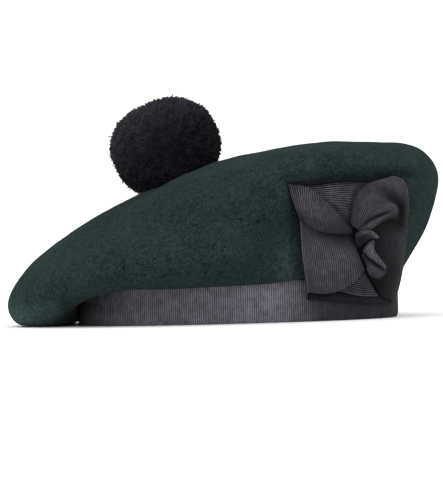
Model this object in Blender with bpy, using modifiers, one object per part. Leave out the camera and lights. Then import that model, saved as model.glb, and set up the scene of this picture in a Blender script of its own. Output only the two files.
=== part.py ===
"""Balmoral bonnet: a felt bonnet pulled down to one side, with a ribbon band, toorie and cockade.

Metres, +Z up. The hat lies on its band, whose lower edge is the plane z = 0. +X is the side that
carries the cockade, the crown hangs down towards -X, and -Y is the front of the view. The origin
is under the middle of the crown's reach from side to side and from front to back.
"""
import math
from dataclasses import dataclass

import bmesh
import bpy
from mathutils import Matrix, Vector
from mathutils.bvhtree import BVHTree

# Band: an oval of black ribbon round the head opening, flatter along its sides than an ellipse
BAND_HALF_WIDTH = 0.0975
BAND_HALF_DEPTH = 0.080
BAND_SQUARENESS = 2.3
BAND_HEIGHT = 0.025
BAND_THICKNESS = 0.0016
BAND_EDGE_TUCK = 0.0012
BAND_EDGE_ROUND = 0.0035
# How far the rounded edge has turned in, and how high it is, halfway round, as shares
BAND_EDGE_MIDDLE = (0.35, 0.4)

# Crown: one wall of fulled wool felt, measured from the band's outer face and from the table
FELT_THICKNESS = 0.0020
LEFT_OVERHANG = 0.043
RIGHT_OVERHANG = 0.027
FRONT_OVERHANG = 0.038
BACK_OVERHANG = 0.036
CROWN_HEIGHT = 0.1075
CROWN_CENTRE_LEFT = 0.0335
CROWN_CENTRE_HEIGHT = 0.087
CROWN_CENTRE_SLOPE = 0.36
NECK_ABOVE_EDGE = 0.0005
FLOOR_CLEARANCE = 0.0004
LIP_OUT = 0.0016
LIP_RISE = 0.0014

# Toorie: the wool ball sewn to the crown's centre
TOORIE_RADIUS = 0.0333
TOORIE_HALF_HEIGHT = 0.0300
TOORIE_SINK = 0.0130
TOORIE_SEAT_GAP = 0.0008
TOORIE_LOCK_LENGTH = 0.0026
TOORIE_LOCK_TAPER = 0.55
TOORIE_LOCK_UNEVENNESS = 0.38
TOORIE_LOCK_TURN = 2.399

# Cockade: ribbon folded into a pinwheel on a square ground
COCKADE_WIDTH = 0.080
COCKADE_HEIGHT = 0.070
COCKADE_ACROSS = 0.0690
COCKADE_BOTTOM = 0.0135
COCKADE_DEPTH = 0.0115
RIBBON_THICKNESS = 0.0010
GROUND_THICKNESS = 0.0012

# Clear gap kept between pieces that touch, and between layers of ribbon on the curved seat
GAP = 0.0003
LAYER_GAP = 0.0010
SEAM_MERGE = 0.00001

# The grid of reaches that the cockade's seat is felt out with: its azimuths and its step upwards
SEAT_FIRST_AZIMUTH = -110
SEAT_LAST_AZIMUTH = 30
SEAT_STEP_AZIMUTH = 4
SEAT_STEP_HEIGHT = 0.004
SEAT_MARGIN_STEPS = 3

# How finely the surfaces are divided
AZIMUTH_STEPS = 60
PETAL_STEPS_ALONG = 9
PETAL_STEPS_ACROSS = 7
GROUND_STEPS = 12
CONTOUR_STEPS = 70
# Shares of the cockade's size over which the seat's slope is taken
SLOPE_SHARE = 0.04

# The band's centre, so that the origin is the middle of the crown's reach
BAND_CENTRE_X = (LEFT_OVERHANG - RIGHT_OVERHANG) / 2
BAND_CENTRE_Y = (FRONT_OVERHANG - BACK_OVERHANG) / 2


@dataclass(frozen=True)
class Section:
    """The crown cut by a half plane from the band's middle.

    azimuth is in degrees, 0 at the cockade side and -90 at the front. Each _out is a share of
    this azimuth's overhang past the band, and each _height a share of the crown's height.
    belly is the lowest stretch of the underside, wall is between it and the rim, and the last
    three are on the top, going from the rim to the crown's centre.
    """

    azimuth: float
    belly_out: float
    belly_height: float
    wall_out: float
    wall_height: float
    rim_out: float
    rim_height: float
    shoulder_height: float
    crest_height: float
    middle_height: float


SECTIONS = (
    Section(-180, 0.09, 0.006, 0.82, 0.000, 1.00, 0.113, 0.281, 0.488, 0.690),
    Section(-167, 0.10, 0.006, 0.82, 0.010, 0.98, 0.133, 0.296, 0.501, 0.698),
    Section(-150, 0.40, 0.110, 0.79, 0.095, 0.94, 0.202, 0.345, 0.532, 0.718),
    Section(-132, 0.38, 0.196, 0.73, 0.207, 0.92, 0.286, 0.416, 0.584, 0.742),
    Section(-112, 0.30, 0.201, 0.68, 0.222, 0.96, 0.340, 0.493, 0.680, 0.799),
    Section(-98, 0.26, 0.206, 0.66, 0.242, 0.99, 0.380, 0.547, 0.742, 0.841),
    Section(-88, 0.25, 0.207, 0.64, 0.286, 0.95, 0.444, 0.623, 0.792, 0.860),
    Section(-79, 0.23, 0.210, 0.54, 0.399, 0.84, 0.592, 0.750, 0.852, 0.881),
    Section(-69, 0.20, 0.228, 0.45, 0.537, 0.77, 0.749, 0.879, 0.907, 0.903),
    Section(-50, 0.21, 0.280, 0.47, 0.598, 0.82, 0.823, 0.949, 0.961, 0.928),
    Section(-25, 0.22, 0.299, 0.54, 0.579, 0.93, 0.814, 0.958, 0.996, 0.942),
    Section(0, 0.25, 0.317, 0.75, 0.533, 1.00, 0.784, 0.951, 0.999, 0.944),
    Section(30, 0.31, 0.280, 0.77, 0.434, 0.96, 0.661, 0.849, 0.957, 0.938),
    Section(55, 0.30, 0.245, 0.77, 0.325, 0.94, 0.516, 0.699, 0.865, 0.908),
    Section(80, 0.29, 0.217, 0.74, 0.253, 0.98, 0.407, 0.579, 0.760, 0.850),
    Section(105, 0.30, 0.190, 0.73, 0.217, 1.00, 0.335, 0.488, 0.671, 0.796),
    Section(130, 0.37, 0.154, 0.76, 0.177, 0.98, 0.253, 0.398, 0.584, 0.742),
    Section(152, 0.42, 0.079, 0.80, 0.094, 0.96, 0.172, 0.325, 0.523, 0.710),
    Section(167, 0.09, 0.006, 0.82, 0.006, 0.98, 0.133, 0.290, 0.498, 0.698),
)

# Where the shoulder, crest and middle lie, as shares of the way from the rim to the centre
TOP_SHARES = (0.08, 0.32, 0.68)
# Steps along each stretch of a section: neck, lip, underside, wall, roll, top and centre
STRETCH_STEPS = (1, 2, 4, 3, 3, 3, 3, 3, 3)


@dataclass(frozen=True)
class Petal:
    """A ribbon loop or fold of the pinwheel: rows of stitches from the hub out to its end.

    thickness is a share of the ribbon's usual one, less where the ribbon turns sharply. Each
    stitch is (across, up, lift): across is a share of the cockade's width and up of its
    height, from its middle, and lift is how far the ribbon stands off, as a share of its depth.
    """

    name: str
    thickness: float
    rows: tuple


PETALS = (
    Petal("cockade_top_loop", 1.0, (
        ((-0.100, 0.161, 0.02), (-0.063, 0.141, 0.04), (-0.027, 0.152, 0.02)),
        ((-0.226, 0.264, 0.04), (-0.101, 0.264, 0.10), (0.015, 0.270, 0.04)),
        ((-0.327, 0.360, 0.05), (-0.135, 0.374, 0.14), (0.084, 0.382, 0.05)),
        ((-0.388, 0.448, 0.03), (-0.118, 0.488, 0.10), (0.178, 0.460, 0.03)),
    )),
    Petal("cockade_left_upper_loop", 1.0, (
        ((-0.081, 0.054, 0.36), (-0.056, 0.079, 0.30), (-0.056, 0.108, 0.23)),
        ((-0.239, 0.072, 0.37), (-0.201, 0.168, 0.48), (-0.142, 0.230, 0.36)),
        ((-0.384, 0.122, 0.36), (-0.351, 0.267, 0.44), (-0.280, 0.362, 0.34)),
        ((-0.487, 0.176, 0.35), (-0.437, 0.314, 0.36), (-0.388, 0.441, 0.30)),
        ((-0.506, 0.203, 0.31), (-0.497, 0.338, 0.24), (-0.490, 0.470, 0.20)),
    )),
    Petal("cockade_top_right_loop", 0.6, (
        ((-0.065, 0.141, 0.36), (-0.056, 0.137, 0.40), (-0.046, 0.129, 0.44), (-0.035, 0.120, 0.46),
         (-0.024, 0.111, 0.46), (-0.012, 0.094, 0.39), (-0.001, 0.080, 0.40), (0.013, 0.061, 0.36)),
        ((-0.051, 0.283, 0.38), (-0.028, 0.277, 0.52), (0.000, 0.257, 0.60), (0.030, 0.239, 0.64),
         (0.054, 0.218, 0.62), (0.082, 0.180, 0.36), (0.079, 0.142, 0.50), (0.083, 0.088, 0.42)),
        ((-0.032, 0.370, 0.38), (0.012, 0.370, 0.56), (0.064, 0.344, 0.66), (0.120, 0.314, 0.72),
         (0.166, 0.287, 0.72), (0.203, 0.233, 0.36), (0.197, 0.213, 0.50), (0.203, 0.155, 0.28)),
        ((0.001, 0.419, 0.36), (0.070, 0.423, 0.52), (0.139, 0.396, 0.64), (0.213, 0.354, 0.72),
         (0.272, 0.327, 0.74), (0.297, 0.289, 0.66), (0.296, 0.247, 0.56), (0.284, 0.187, 0.30)),
        ((0.039, 0.447, 0.34), (0.122, 0.459, 0.46), (0.214, 0.432, 0.46), (0.297, 0.365, 0.26),
         (0.364, 0.317, 0.20), (0.390, 0.270, 0.20), (0.382, 0.218, 0.22), (0.350, 0.165, 0.25)),
        ((0.074, 0.467, 0.30), (0.168, 0.491, 0.40), (0.262, 0.483, 0.44), (0.345, 0.437, 0.42),
         (0.396, 0.376, 0.40), (0.423, 0.304, 0.38), (0.431, 0.224, 0.36), (0.420, 0.130, 0.32)),
        ((0.112, 0.482, 0.22), (0.212, 0.513, 0.26), (0.313, 0.521, 0.26), (0.407, 0.483, 0.26),
         (0.455, 0.419, 0.24), (0.478, 0.327, 0.22), (0.488, 0.225, 0.22), (0.482, 0.107, 0.22)),
    )),
    Petal("cockade_left_lower_loop", 1.0, (
        ((-0.044, 0.028, 0.05), (0.000, -0.119, 0.16), (0.052, -0.241, 0.23)),
        ((-0.091, 0.081, 0.05), (-0.054, -0.137, 0.34), (-0.018, -0.301, 0.32)),
        ((-0.180, 0.102, 0.05), (-0.131, -0.150, 0.40), (-0.129, -0.383, 0.30)),
        ((-0.296, 0.132, 0.05), (-0.254, -0.155, 0.32), (-0.251, -0.433, 0.26)),
        ((-0.407, 0.167, 0.05), (-0.351, -0.148, 0.25), (-0.331, -0.427, 0.22)),
        ((-0.481, 0.190, 0.04), (-0.435, -0.096, 0.15), (-0.391, -0.412, 0.12)),
    )),
    Petal("cockade_bottom_loop", 1.0, (
        ((0.036, -0.242, 0.00), (0.056, -0.257, 0.00), (0.073, -0.273, 0.00)),
        ((-0.034, -0.311, 0.01), (0.041, -0.330, 0.04), (0.124, -0.358, 0.02)),
        ((-0.148, -0.421, 0.01), (0.021, -0.484, 0.08), (0.204, -0.494, 0.03)),
    )),
    Petal("cockade_lower_right_fold", 0.5, (
        ((0.038, -0.047, 0.52), (0.027, -0.067, 0.50), (0.022, -0.083, 0.44), (0.022, -0.095, 0.36),
         (0.022, -0.111, 0.32), (0.020, -0.130, 0.30)),
        ((0.075, -0.004, 0.60), (0.049, -0.060, 0.68), (0.042, -0.107, 0.58), (0.054, -0.127, 0.34),
         (0.050, -0.155, 0.31), (0.047, -0.183, 0.30)),
        ((0.107, 0.001, 0.62), (0.076, -0.062, 0.74), (0.067, -0.130, 0.68), (0.088, -0.157, 0.34),
         (0.069, -0.185, 0.37), (0.061, -0.218, 0.31)),
        ((0.107, -0.070, 0.60), (0.097, -0.115, 0.76), (0.104, -0.158, 0.68), (0.131, -0.186, 0.35),
         (0.091, -0.212, 0.44), (0.066, -0.243, 0.32)),
        ((0.154, -0.133, 0.58), (0.139, -0.159, 0.74), (0.145, -0.184, 0.66), (0.173, -0.210, 0.34),
         (0.124, -0.237, 0.46), (0.091, -0.271, 0.32)),
        ((0.207, -0.187, 0.54), (0.193, -0.201, 0.64), (0.197, -0.215, 0.54), (0.213, -0.230, 0.34),
         (0.169, -0.259, 0.46), (0.135, -0.292, 0.33)),
        ((0.248, -0.220, 0.38), (0.241, -0.232, 0.42), (0.237, -0.243, 0.42), (0.236, -0.254, 0.39),
         (0.214, -0.279, 0.40), (0.184, -0.308, 0.35)),
    )),
    Petal("cockade_right_loop", 1.0, (
        ((0.137, 0.158, 0.00), (0.125, 0.009, 0.01), (0.097, -0.133, 0.02), (0.095, -0.272, 0.03)),
        ((0.222, 0.165, 0.00), (0.231, -0.027, 0.02), (0.199, -0.208, 0.01), (0.170, -0.375, 0.01)),
        ((0.322, 0.173, 0.00), (0.348, -0.054, 0.04), (0.323, -0.263, 0.03), (0.250, -0.509, 0.02)),
        ((0.420, 0.153, 0.01), (0.427, -0.069, 0.14), (0.431, -0.292, 0.12), (0.351, -0.534, 0.05)),
        ((0.502, 0.125, 0.01), (0.503, -0.079, 0.10), (0.537, -0.306, 0.08), (0.462, -0.546, 0.03)),
    )),
    Petal("cockade_knot", 0.6, (
        ((-0.034, 0.064, 0.46), (-0.038, 0.043, 0.49), (-0.039, 0.012, 0.47), (-0.035, -0.023, 0.43),
         (-0.025, -0.059, 0.39)),
        ((0.004, 0.092, 0.60), (-0.002, 0.075, 0.68), (-0.002, 0.045, 0.64), (0.003, 0.006, 0.53),
         (0.008, -0.041, 0.40)),
        ((0.047, 0.099, 0.68), (0.039, 0.081, 0.78), (0.035, 0.052, 0.73), (0.035, 0.018, 0.60),
         (0.038, -0.021, 0.43)),
        ((0.092, 0.090, 0.72), (0.077, 0.073, 0.84), (0.067, 0.052, 0.79), (0.062, 0.028, 0.66),
         (0.060, -0.001, 0.50)),
        ((0.146, 0.039, 0.68), (0.125, 0.030, 0.78), (0.109, 0.028, 0.77), (0.094, 0.028, 0.69),
         (0.082, 0.019, 0.57)),
    )),
)

# The ground's outline, from its lower edge up: (across, up) at the left, two points between
# and the right, as shares of the cockade's width and height from its middle
GROUND_ROWS = (
    ((-0.385, -0.505), (-0.110, -0.535), (0.160, -0.560), (0.464, -0.570)),
    ((-0.400, -0.251), (-0.120, -0.260), (0.200, -0.268), (0.512, -0.286)),
    ((-0.450, 0.017), (-0.110, 0.000), (0.206, -0.010), (0.521, -0.030)),
    ((-0.500, 0.250), (-0.110, 0.256), (0.205, 0.249), (0.518, 0.242)),
    ((-0.500, 0.480), (-0.126, 0.490), (0.213, 0.470), (0.500, 0.440)),
)


def remove_everything():
    """Empties the scene before the hat is modelled."""
    for item in list(bpy.data.objects):
        bpy.data.objects.remove(item, do_unlink=True)


def smooth_path(points, steps, end_tangent=None):
    """Points along a rounded curve through the given points, with steps for each stretch."""
    count = len(points)
    knots = [0.0]
    for start, end in zip(points, points[1:]):
        knots.append(knots[-1] + max((end - start).length, 1e-6) ** 0.5)
    tangents = []
    for index in range(count):
        before = max(index - 1, 0)
        after = min(index + 1, count - 1)
        if 0 < index < count - 1:
            left = (points[index] - points[before]) / (knots[index] - knots[before])
            right = (points[after] - points[index]) / (knots[after] - knots[index])
            left_share = (knots[after] - knots[index]) / (knots[after] - knots[before])
            tangents.append(left * left_share + right * (1 - left_share))
        else:
            tangents.append((points[after] - points[before]) / (knots[after] - knots[before]))
    if end_tangent is not None:
        tangents[-1] = end_tangent.normalized() * tangents[-1].length
    path = [points[0].copy()]
    for index in range(count - 1):
        span = knots[index + 1] - knots[index]
        for step in range(1, steps[index] + 1):
            share = step / steps[index]
            square = share * share
            cube = square * share
            path.append(
                points[index] * (2 * cube - 3 * square + 1)
                + tangents[index] * span * (cube - 2 * square + share)
                + points[index + 1] * (3 * square - 2 * cube)
                + tangents[index + 1] * span * (cube - square)
            )
    return path


def section_at(azimuth):
    """The crown's section at any azimuth, rounded between the rows of the table."""
    count = len(SECTIONS)
    turned = (azimuth - SECTIONS[0].azimuth) % 360 + SECTIONS[0].azimuth
    index = max(i for i in range(count) if SECTIONS[i].azimuth <= turned)

    def row(i):
        return SECTIONS[i % count]

    def angle(i):
        return row(i).azimuth + 360 * (i // count)

    span = angle(index + 1) - angle(index)
    share = (turned - angle(index)) / span
    values = []
    for field in Section.__dataclass_fields__:
        if field == "azimuth":
            continue
        before, low, high, after = (getattr(row(index + i), field) for i in (-1, 0, 1, 2))
        low_slope = (high - before) / (angle(index + 1) - angle(index - 1)) * span
        high_slope = (after - low) / (angle(index + 2) - angle(index)) * span
        values.append(
            low * (2 * share ** 3 - 3 * share ** 2 + 1)
            + low_slope * (share ** 3 - 2 * share ** 2 + share)
            + high * (3 * share ** 2 - 2 * share ** 3)
            + high_slope * (share ** 3 - share ** 2)
        )
    return Section(azimuth, *values)


def band_reach(azimuth, inset=0.0):
    """Distance from the band's middle to its outer face, or to an oval inset from that face."""
    half_width = BAND_HALF_WIDTH - inset
    half_depth = BAND_HALF_DEPTH - inset
    wide = abs(math.cos(azimuth)) / half_width
    deep = abs(math.sin(azimuth)) / half_depth
    return (wide ** BAND_SQUARENESS + deep ** BAND_SQUARENESS) ** (-1 / BAND_SQUARENESS)


def overhang(azimuth):
    """How far the crown's rim reaches past the band towards an azimuth, before its share."""
    side = RIGHT_OVERHANG if math.cos(azimuth) > 0 else LEFT_OVERHANG
    face = BACK_OVERHANG if math.sin(azimuth) > 0 else FRONT_OVERHANG
    return math.cos(azimuth) ** 2 * side + math.sin(azimuth) ** 2 * face


def place(azimuth, reach, height):
    """A point at a reach from the band's middle and a height above its lower edge."""
    return Vector((
        BAND_CENTRE_X + reach * math.cos(azimuth),
        BAND_CENTRE_Y + reach * math.sin(azimuth),
        height,
    ))


def crown_centre():
    """The middle of the crown's top, where the toorie sits."""
    return Vector((BAND_CENTRE_X - CROWN_CENTRE_LEFT, BAND_CENTRE_Y, CROWN_CENTRE_HEIGHT))


def crown_section(azimuth):
    """The felt's outer face at one azimuth, from the neck inside the band up to the centre.

    It lies flat where it would hang below what the hat rests on.
    """
    section = section_at(math.degrees(azimuth))
    outer = band_reach(azimuth)
    inner = band_reach(azimuth, BAND_THICKNESS + GAP)
    past = overhang(azimuth)
    rim = place(azimuth, outer + past * section.rim_out, CROWN_HEIGHT * section.rim_height)
    centre = crown_centre()
    points = [
        place(azimuth, inner, BAND_EDGE_ROUND + NECK_ABOVE_EDGE),
        place(azimuth, inner, BAND_HEIGHT + GAP),
        place(azimuth, outer + LIP_OUT, BAND_HEIGHT + GAP + LIP_RISE),
        place(azimuth, outer + past * section.belly_out, CROWN_HEIGHT * section.belly_height),
        place(azimuth, outer + past * section.wall_out, CROWN_HEIGHT * section.wall_height),
        rim,
    ]
    heights = (section.shoulder_height, section.crest_height, section.middle_height)
    for share, height in zip(TOP_SHARES, heights):
        flat = rim.lerp(centre, share)
        points.append(Vector((flat.x, flat.y, CROWN_HEIGHT * height)))
    points.append(centre)
    inward = centre - rim
    inward.z = inward.x * CROWN_CENTRE_SLOPE
    path = smooth_path(points, STRETCH_STEPS, inward)
    for point in path:
        point.z = max(point.z, FLOOR_CLEARANCE)
    return path


def close_loft(rings, apex=None):
    """A bmesh of closed rings of points joined in order, ending in a point if one is given."""
    mesh = bmesh.new()
    loops = [[mesh.verts.new(point) for point in ring] for ring in rings]
    for low, high in zip(loops, loops[1:]):
        for index in range(len(low)):
            after = (index + 1) % len(low)
            mesh.faces.new((low[index], low[after], high[after], high[index]))
    if apex is not None:
        tip = mesh.verts.new(apex)
        last = loops[-1]
        for index in range(len(last)):
            mesh.faces.new((last[index], last[(index + 1) % len(last)], tip))
    return mesh


def finish_object(name, mesh, material, collection):
    """Makes a named object of a bmesh, with its own material, in the hat's collection."""
    bmesh.ops.recalc_face_normals(mesh, faces=mesh.faces)
    data = bpy.data.meshes.new(name)
    mesh.to_mesh(data)
    mesh.free()
    data.shade_smooth()
    data.materials.append(material)
    item = bpy.data.objects.new(name, data)
    collection.objects.link(item)
    return item


def make_material(name, colour, roughness):
    """A plain cloth material of one colour."""
    material = bpy.data.materials.new(name)
    material.use_nodes = True
    shader = material.node_tree.nodes["Principled BSDF"]
    shader.inputs["Base Color"].default_value = (*colour, 1.0)
    shader.inputs["Roughness"].default_value = roughness
    shader.inputs["Metallic"].default_value = 0.0
    return material


def crown_rings():
    """The rings of the felt's outer face, from the neck to just short of the centre."""
    sections = [
        crown_section(2 * math.pi * step / AZIMUTH_STEPS) for step in range(AZIMUTH_STEPS)
    ]
    return [list(ring) for ring in zip(*sections)][:-1]


def make_crown(collection):
    """The felt crown: one closed wall, open only at the head."""
    mesh = close_loft(crown_rings(), crown_centre())
    felt = make_material("bottle_green_felt", (0.012, 0.035, 0.030), 0.95)
    crown = finish_object("crown", mesh, felt, collection)
    wall = crown.modifiers.new("felt wall", "SOLIDIFY")
    wall.thickness = FELT_THICKNESS
    wall.offset = -1.0
    wall.use_even_offset = False
    return crown


def band_outline(inset, height):
    """One ring of the band, inset from its outer face."""
    ring = []
    for step in range(AZIMUTH_STEPS):
        azimuth = 2 * math.pi * step / AZIMUTH_STEPS
        ring.append(place(azimuth, band_reach(azimuth, inset), height))
    return ring


def band_profile():
    """Insets and heights of the band's outer face, with its lower edge turned in a little."""
    return (
        (BAND_EDGE_TUCK, 0.0),
        (BAND_EDGE_TUCK * BAND_EDGE_MIDDLE[0], BAND_EDGE_ROUND * BAND_EDGE_MIDDLE[1]),
        (0.0, BAND_EDGE_ROUND),
        (0.0, BAND_HEIGHT),
    )


def make_band(collection):
    """The ribbon band: a closed wall round the head opening."""
    outside = [band_outline(inset, height) for inset, height in band_profile()]
    inside = [
        band_outline(inset + BAND_THICKNESS, height) for inset, height in reversed(band_profile())
    ]
    rings = outside + inside
    mesh = close_loft(rings + [rings[0]])
    bmesh.ops.remove_doubles(mesh, verts=mesh.verts, dist=SEAM_MERGE)
    ribbon = make_material("black_band_ribbon", (0.018, 0.017, 0.020), 0.75)
    return finish_object("band", mesh, ribbon, collection)


def make_toorie(collection, crown_skin):
    """The wool ball: a head with a short lock on each facet, pressed flat where it is sewn on."""
    tilt = Matrix.Rotation(-math.atan(CROWN_CENTRE_SLOPE), 4, "Y")
    lean = tilt @ Vector((0.0, 0.0, 1.0))
    middle = crown_centre() + lean * (TOORIE_RADIUS - TOORIE_SINK)
    flat = TOORIE_RADIUS - TOORIE_LOCK_LENGTH
    tall = TOORIE_HALF_HEIGHT - TOORIE_LOCK_LENGTH
    mesh = bmesh.new()
    bmesh.ops.create_icosphere(mesh, subdivisions=3, radius=1.0)
    bmesh.ops.scale(mesh, verts=mesh.verts, vec=(flat, flat, tall))
    bmesh.ops.transform(mesh, verts=mesh.verts, matrix=Matrix.Translation(middle) @ tilt)
    raise_locks(mesh)
    for vertex in mesh.verts:
        seat = crown_skin.ray_cast(
            Vector((vertex.co.x, vertex.co.y, CROWN_HEIGHT * 3)), Vector((0, 0, -1))
        )[0]
        if seat is not None:
            vertex.co.z = max(vertex.co.z, seat.z + TOORIE_SEAT_GAP)
    yarn = make_material("black_yarn", (0.010, 0.009, 0.012), 1.0)
    return finish_object("toorie", mesh, yarn, collection)


def raise_locks(mesh):
    """Draws pairs of the head's facets out into short blunt locks of uneven length."""
    bmesh.ops.join_triangles(
        mesh, faces=mesh.faces, angle_face_threshold=math.pi, angle_shape_threshold=math.pi
    )
    faces = list(mesh.faces)
    for number, face in enumerate(faces):
        shorter = TOORIE_LOCK_UNEVENNESS * (1 - math.sin(number * TOORIE_LOCK_TURN))
        bmesh.ops.inset_individual(
            mesh, faces=[face], thickness=TOORIE_LOCK_LENGTH * TOORIE_LOCK_TAPER,
            depth=TOORIE_LOCK_LENGTH * (1 - shorter),
        )


class Seat:
    """The hat's side under the cockade, eased so that ribbon can lie on it.

    reach holds the eased distance from the band's middle, by height and azimuth.
    """

    def __init__(self, skins):
        self.azimuths = [
            math.radians(a)
            for a in range(SEAT_FIRST_AZIMUTH, SEAT_LAST_AZIMUTH + 1, SEAT_STEP_AZIMUTH)
        ]
        self.low = COCKADE_BOTTOM - SEAT_MARGIN_STEPS * SEAT_STEP_HEIGHT
        tall = COCKADE_HEIGHT + 2 * SEAT_MARGIN_STEPS * SEAT_STEP_HEIGHT
        self.heights = [
            self.low + SEAT_STEP_HEIGHT * row for row in range(int(tall / SEAT_STEP_HEIGHT) + 1)
        ]
        found = []
        for height in self.heights:
            below = found[-1] if found else [BAND_HALF_WIDTH] * len(self.azimuths)
            found.append([
                self.probe(skins, azimuth, height, reach_below)
                for azimuth, reach_below in zip(self.azimuths, below)
            ])
        self.reach = self.ease(self.widen(found))
        self.contours = {}

    def probe(self, skins, azimuth, height, reach_below):
        """Reach of the outermost skin towards an azimuth, or straight up from the one below it."""
        far = 4 * BAND_HALF_WIDTH
        height = max(height, BAND_EDGE_ROUND)
        start = place(azimuth, far, height)
        inward = place(azimuth, 0.0, height) - start
        hits = [skin.ray_cast(start, inward.normalized())[3] for skin in skins]
        met = [hit for hit in hits if hit is not None]
        return far - min(met) if met else reach_below

    def spread(self, rows, choose):
        """Each value replaced by a choice from its own and its neighbours' values."""
        tall = len(rows)
        wide = len(rows[0])
        result = []
        for i in range(tall):
            line = []
            for j in range(wide):
                near = [
                    rows[min(max(i + di, 0), tall - 1)][min(max(j + dj, 0), wide - 1)]
                    for di in (-1, 0, 1) for dj in (-1, 0, 1)
                ]
                line.append(choose(near))
            result.append(line)
        return result

    def widen(self, rows):
        """The largest reach close by, so that chords stay clear of the skin."""
        return self.spread(rows, max)

    def ease(self, rows):
        """Average of the reaches close by."""
        return self.spread(rows, lambda near: sum(near) / len(near))

    def reach_at(self, azimuth, height):
        """The eased reach between the grid's values."""
        across = (azimuth - self.azimuths[0]) / (self.azimuths[1] - self.azimuths[0])
        up = (height - self.low) / SEAT_STEP_HEIGHT
        column = min(max(int(across), 0), len(self.azimuths) - 2)
        row = min(max(int(up), 0), len(self.heights) - 2)
        u = across - column
        v = up - row
        near, far = self.reach[row], self.reach[row + 1]
        low = near[column] * (1 - u) + near[column + 1] * u
        high = far[column] * (1 - u) + far[column + 1] * u
        return low * (1 - v) + high * v

    def skin_point(self, azimuth, height):
        """The eased surface's point at an azimuth and height."""
        return place(azimuth, self.reach_at(azimuth, height), height)

    def contour(self, height):
        """Azimuths at a height with their lengths along it from the cockade's middle line."""
        if height in self.contours:
            return self.contours[height]
        first, last = self.azimuths[0], self.azimuths[-1]
        angles = [
            first + (last - first) * step / CONTOUR_STEPS for step in range(CONTOUR_STEPS + 1)
        ]
        points = [self.skin_point(angle, height) for angle in angles]
        lengths = [0.0]
        for start, end in zip(points, points[1:]):
            lengths.append(lengths[-1] + (end - start).length)
        middle = BAND_CENTRE_X + COCKADE_ACROSS
        for index in range(CONTOUR_STEPS):
            if points[index].x <= middle <= points[index + 1].x:
                share = (middle - points[index].x) / (points[index + 1].x - points[index].x)
                zero = lengths[index] + share * (lengths[index + 1] - lengths[index])
                break
        self.contours[height] = (angles, [length - zero for length in lengths])
        return self.contours[height]

    def on_seat(self, across, up):
        """The seat's point at shares of the cockade's size from its middle."""
        height = COCKADE_BOTTOM + COCKADE_HEIGHT * (0.5 + up)
        angles, lengths = self.contour(height)
        wanted = COCKADE_WIDTH * across
        for index in range(len(lengths) - 1):
            if lengths[index + 1] >= wanted or index == len(lengths) - 2:
                share = (wanted - lengths[index]) / (lengths[index + 1] - lengths[index])
                angle = angles[index] + share * (angles[index + 1] - angles[index])
                return self.skin_point(angle, height)
        return None

    def directions(self, across, up):
        """Unit vectors to the right, up and straight out of the seat at a place."""
        right = self.on_seat(across + SLOPE_SHARE, up) - self.on_seat(across - SLOPE_SHARE, up)
        above = self.on_seat(across, up + SLOPE_SHARE) - self.on_seat(across, up - SLOPE_SHARE)
        return right.normalized(), above.normalized(), right.cross(above).normalized()

    def raised(self, across, up, lift):
        """A point lifted straight off the seat."""
        return self.on_seat(across, up) + self.directions(across, up)[2] * lift


def grid_through(rows, along, across):
    """A smooth grid of points through rows of points."""
    wide = [smooth_path(row, spread_steps(len(row) - 1, across)) for row in rows]
    columns = [list(column) for column in zip(*wide)]
    tall = [smooth_path(column, spread_steps(len(column) - 1, along)) for column in columns]
    return [list(row) for row in zip(*tall)]


def spread_steps(stretches, total):
    """Shares a number of steps out over a number of stretches."""
    return [total * (i + 1) // stretches - total * i // stretches for i in range(stretches)]


def sheet(grid, thickness_vectors):
    """A closed sheet between a grid of points and the same grid moved along its vectors."""
    mesh = bmesh.new()
    top = [[mesh.verts.new(point) for point in row] for row in grid]
    low = [
        [mesh.verts.new(point + move) for point, move in zip(row, moves)]
        for row, moves in zip(grid, thickness_vectors)
    ]
    tall, wide = len(grid), len(grid[0])
    for i in range(tall - 1):
        for j in range(wide - 1):
            mesh.faces.new((top[i][j], top[i][j + 1], top[i + 1][j + 1], top[i + 1][j]))
            mesh.faces.new((low[i][j], low[i + 1][j], low[i + 1][j + 1], low[i][j + 1]))
    edge = [(0, j) for j in range(wide)] + [(i, wide - 1) for i in range(1, tall)]
    edge += [(tall - 1, j) for j in range(wide - 2, -1, -1)] + [(i, 0) for i in range(tall - 2, 0, -1)]
    for start, end in zip(edge, edge[1:] + edge[:1]):
        mesh.faces.new((
            top[start[0]][start[1]], low[start[0]][start[1]],
            low[end[0]][end[1]], top[end[0]][end[1]],
        ))
    return mesh


def grid_normals(grid):
    """Unit normals at each point of a grid, pointing away from the hat."""
    tall, wide = len(grid), len(grid[0])
    normals = []
    for i in range(tall):
        line = []
        for j in range(wide):
            along = grid[min(i + 1, tall - 1)][j] - grid[max(i - 1, 0)][j]
            across = grid[i][min(j + 1, wide - 1)] - grid[i][max(j - 1, 0)]
            line.append(across.cross(along).normalized())
        normals.append(line)
    return normals


def outward(grid, normals):
    """The normals turned so that they point away from the band's middle."""
    middle = Vector((BAND_CENTRE_X, BAND_CENTRE_Y, grid[0][0].z))
    tall, wide = len(grid), len(grid[0])
    probe = normals[tall // 2][wide // 2]
    sign = 1.0 if probe.dot(grid[tall // 2][wide // 2] - middle) > 0 else -1.0
    return [[normal * sign for normal in line] for line in normals]


def stitch_point(seat, stitch):
    """The outer face of the pinwheel's ribbon at a stitch."""
    across, up, lift = stitch
    lowest = GAP + GROUND_THICKNESS + LAYER_GAP + RIBBON_THICKNESS
    return seat.raised(across, up, lowest + (COCKADE_DEPTH - lowest) * lift)


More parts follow.
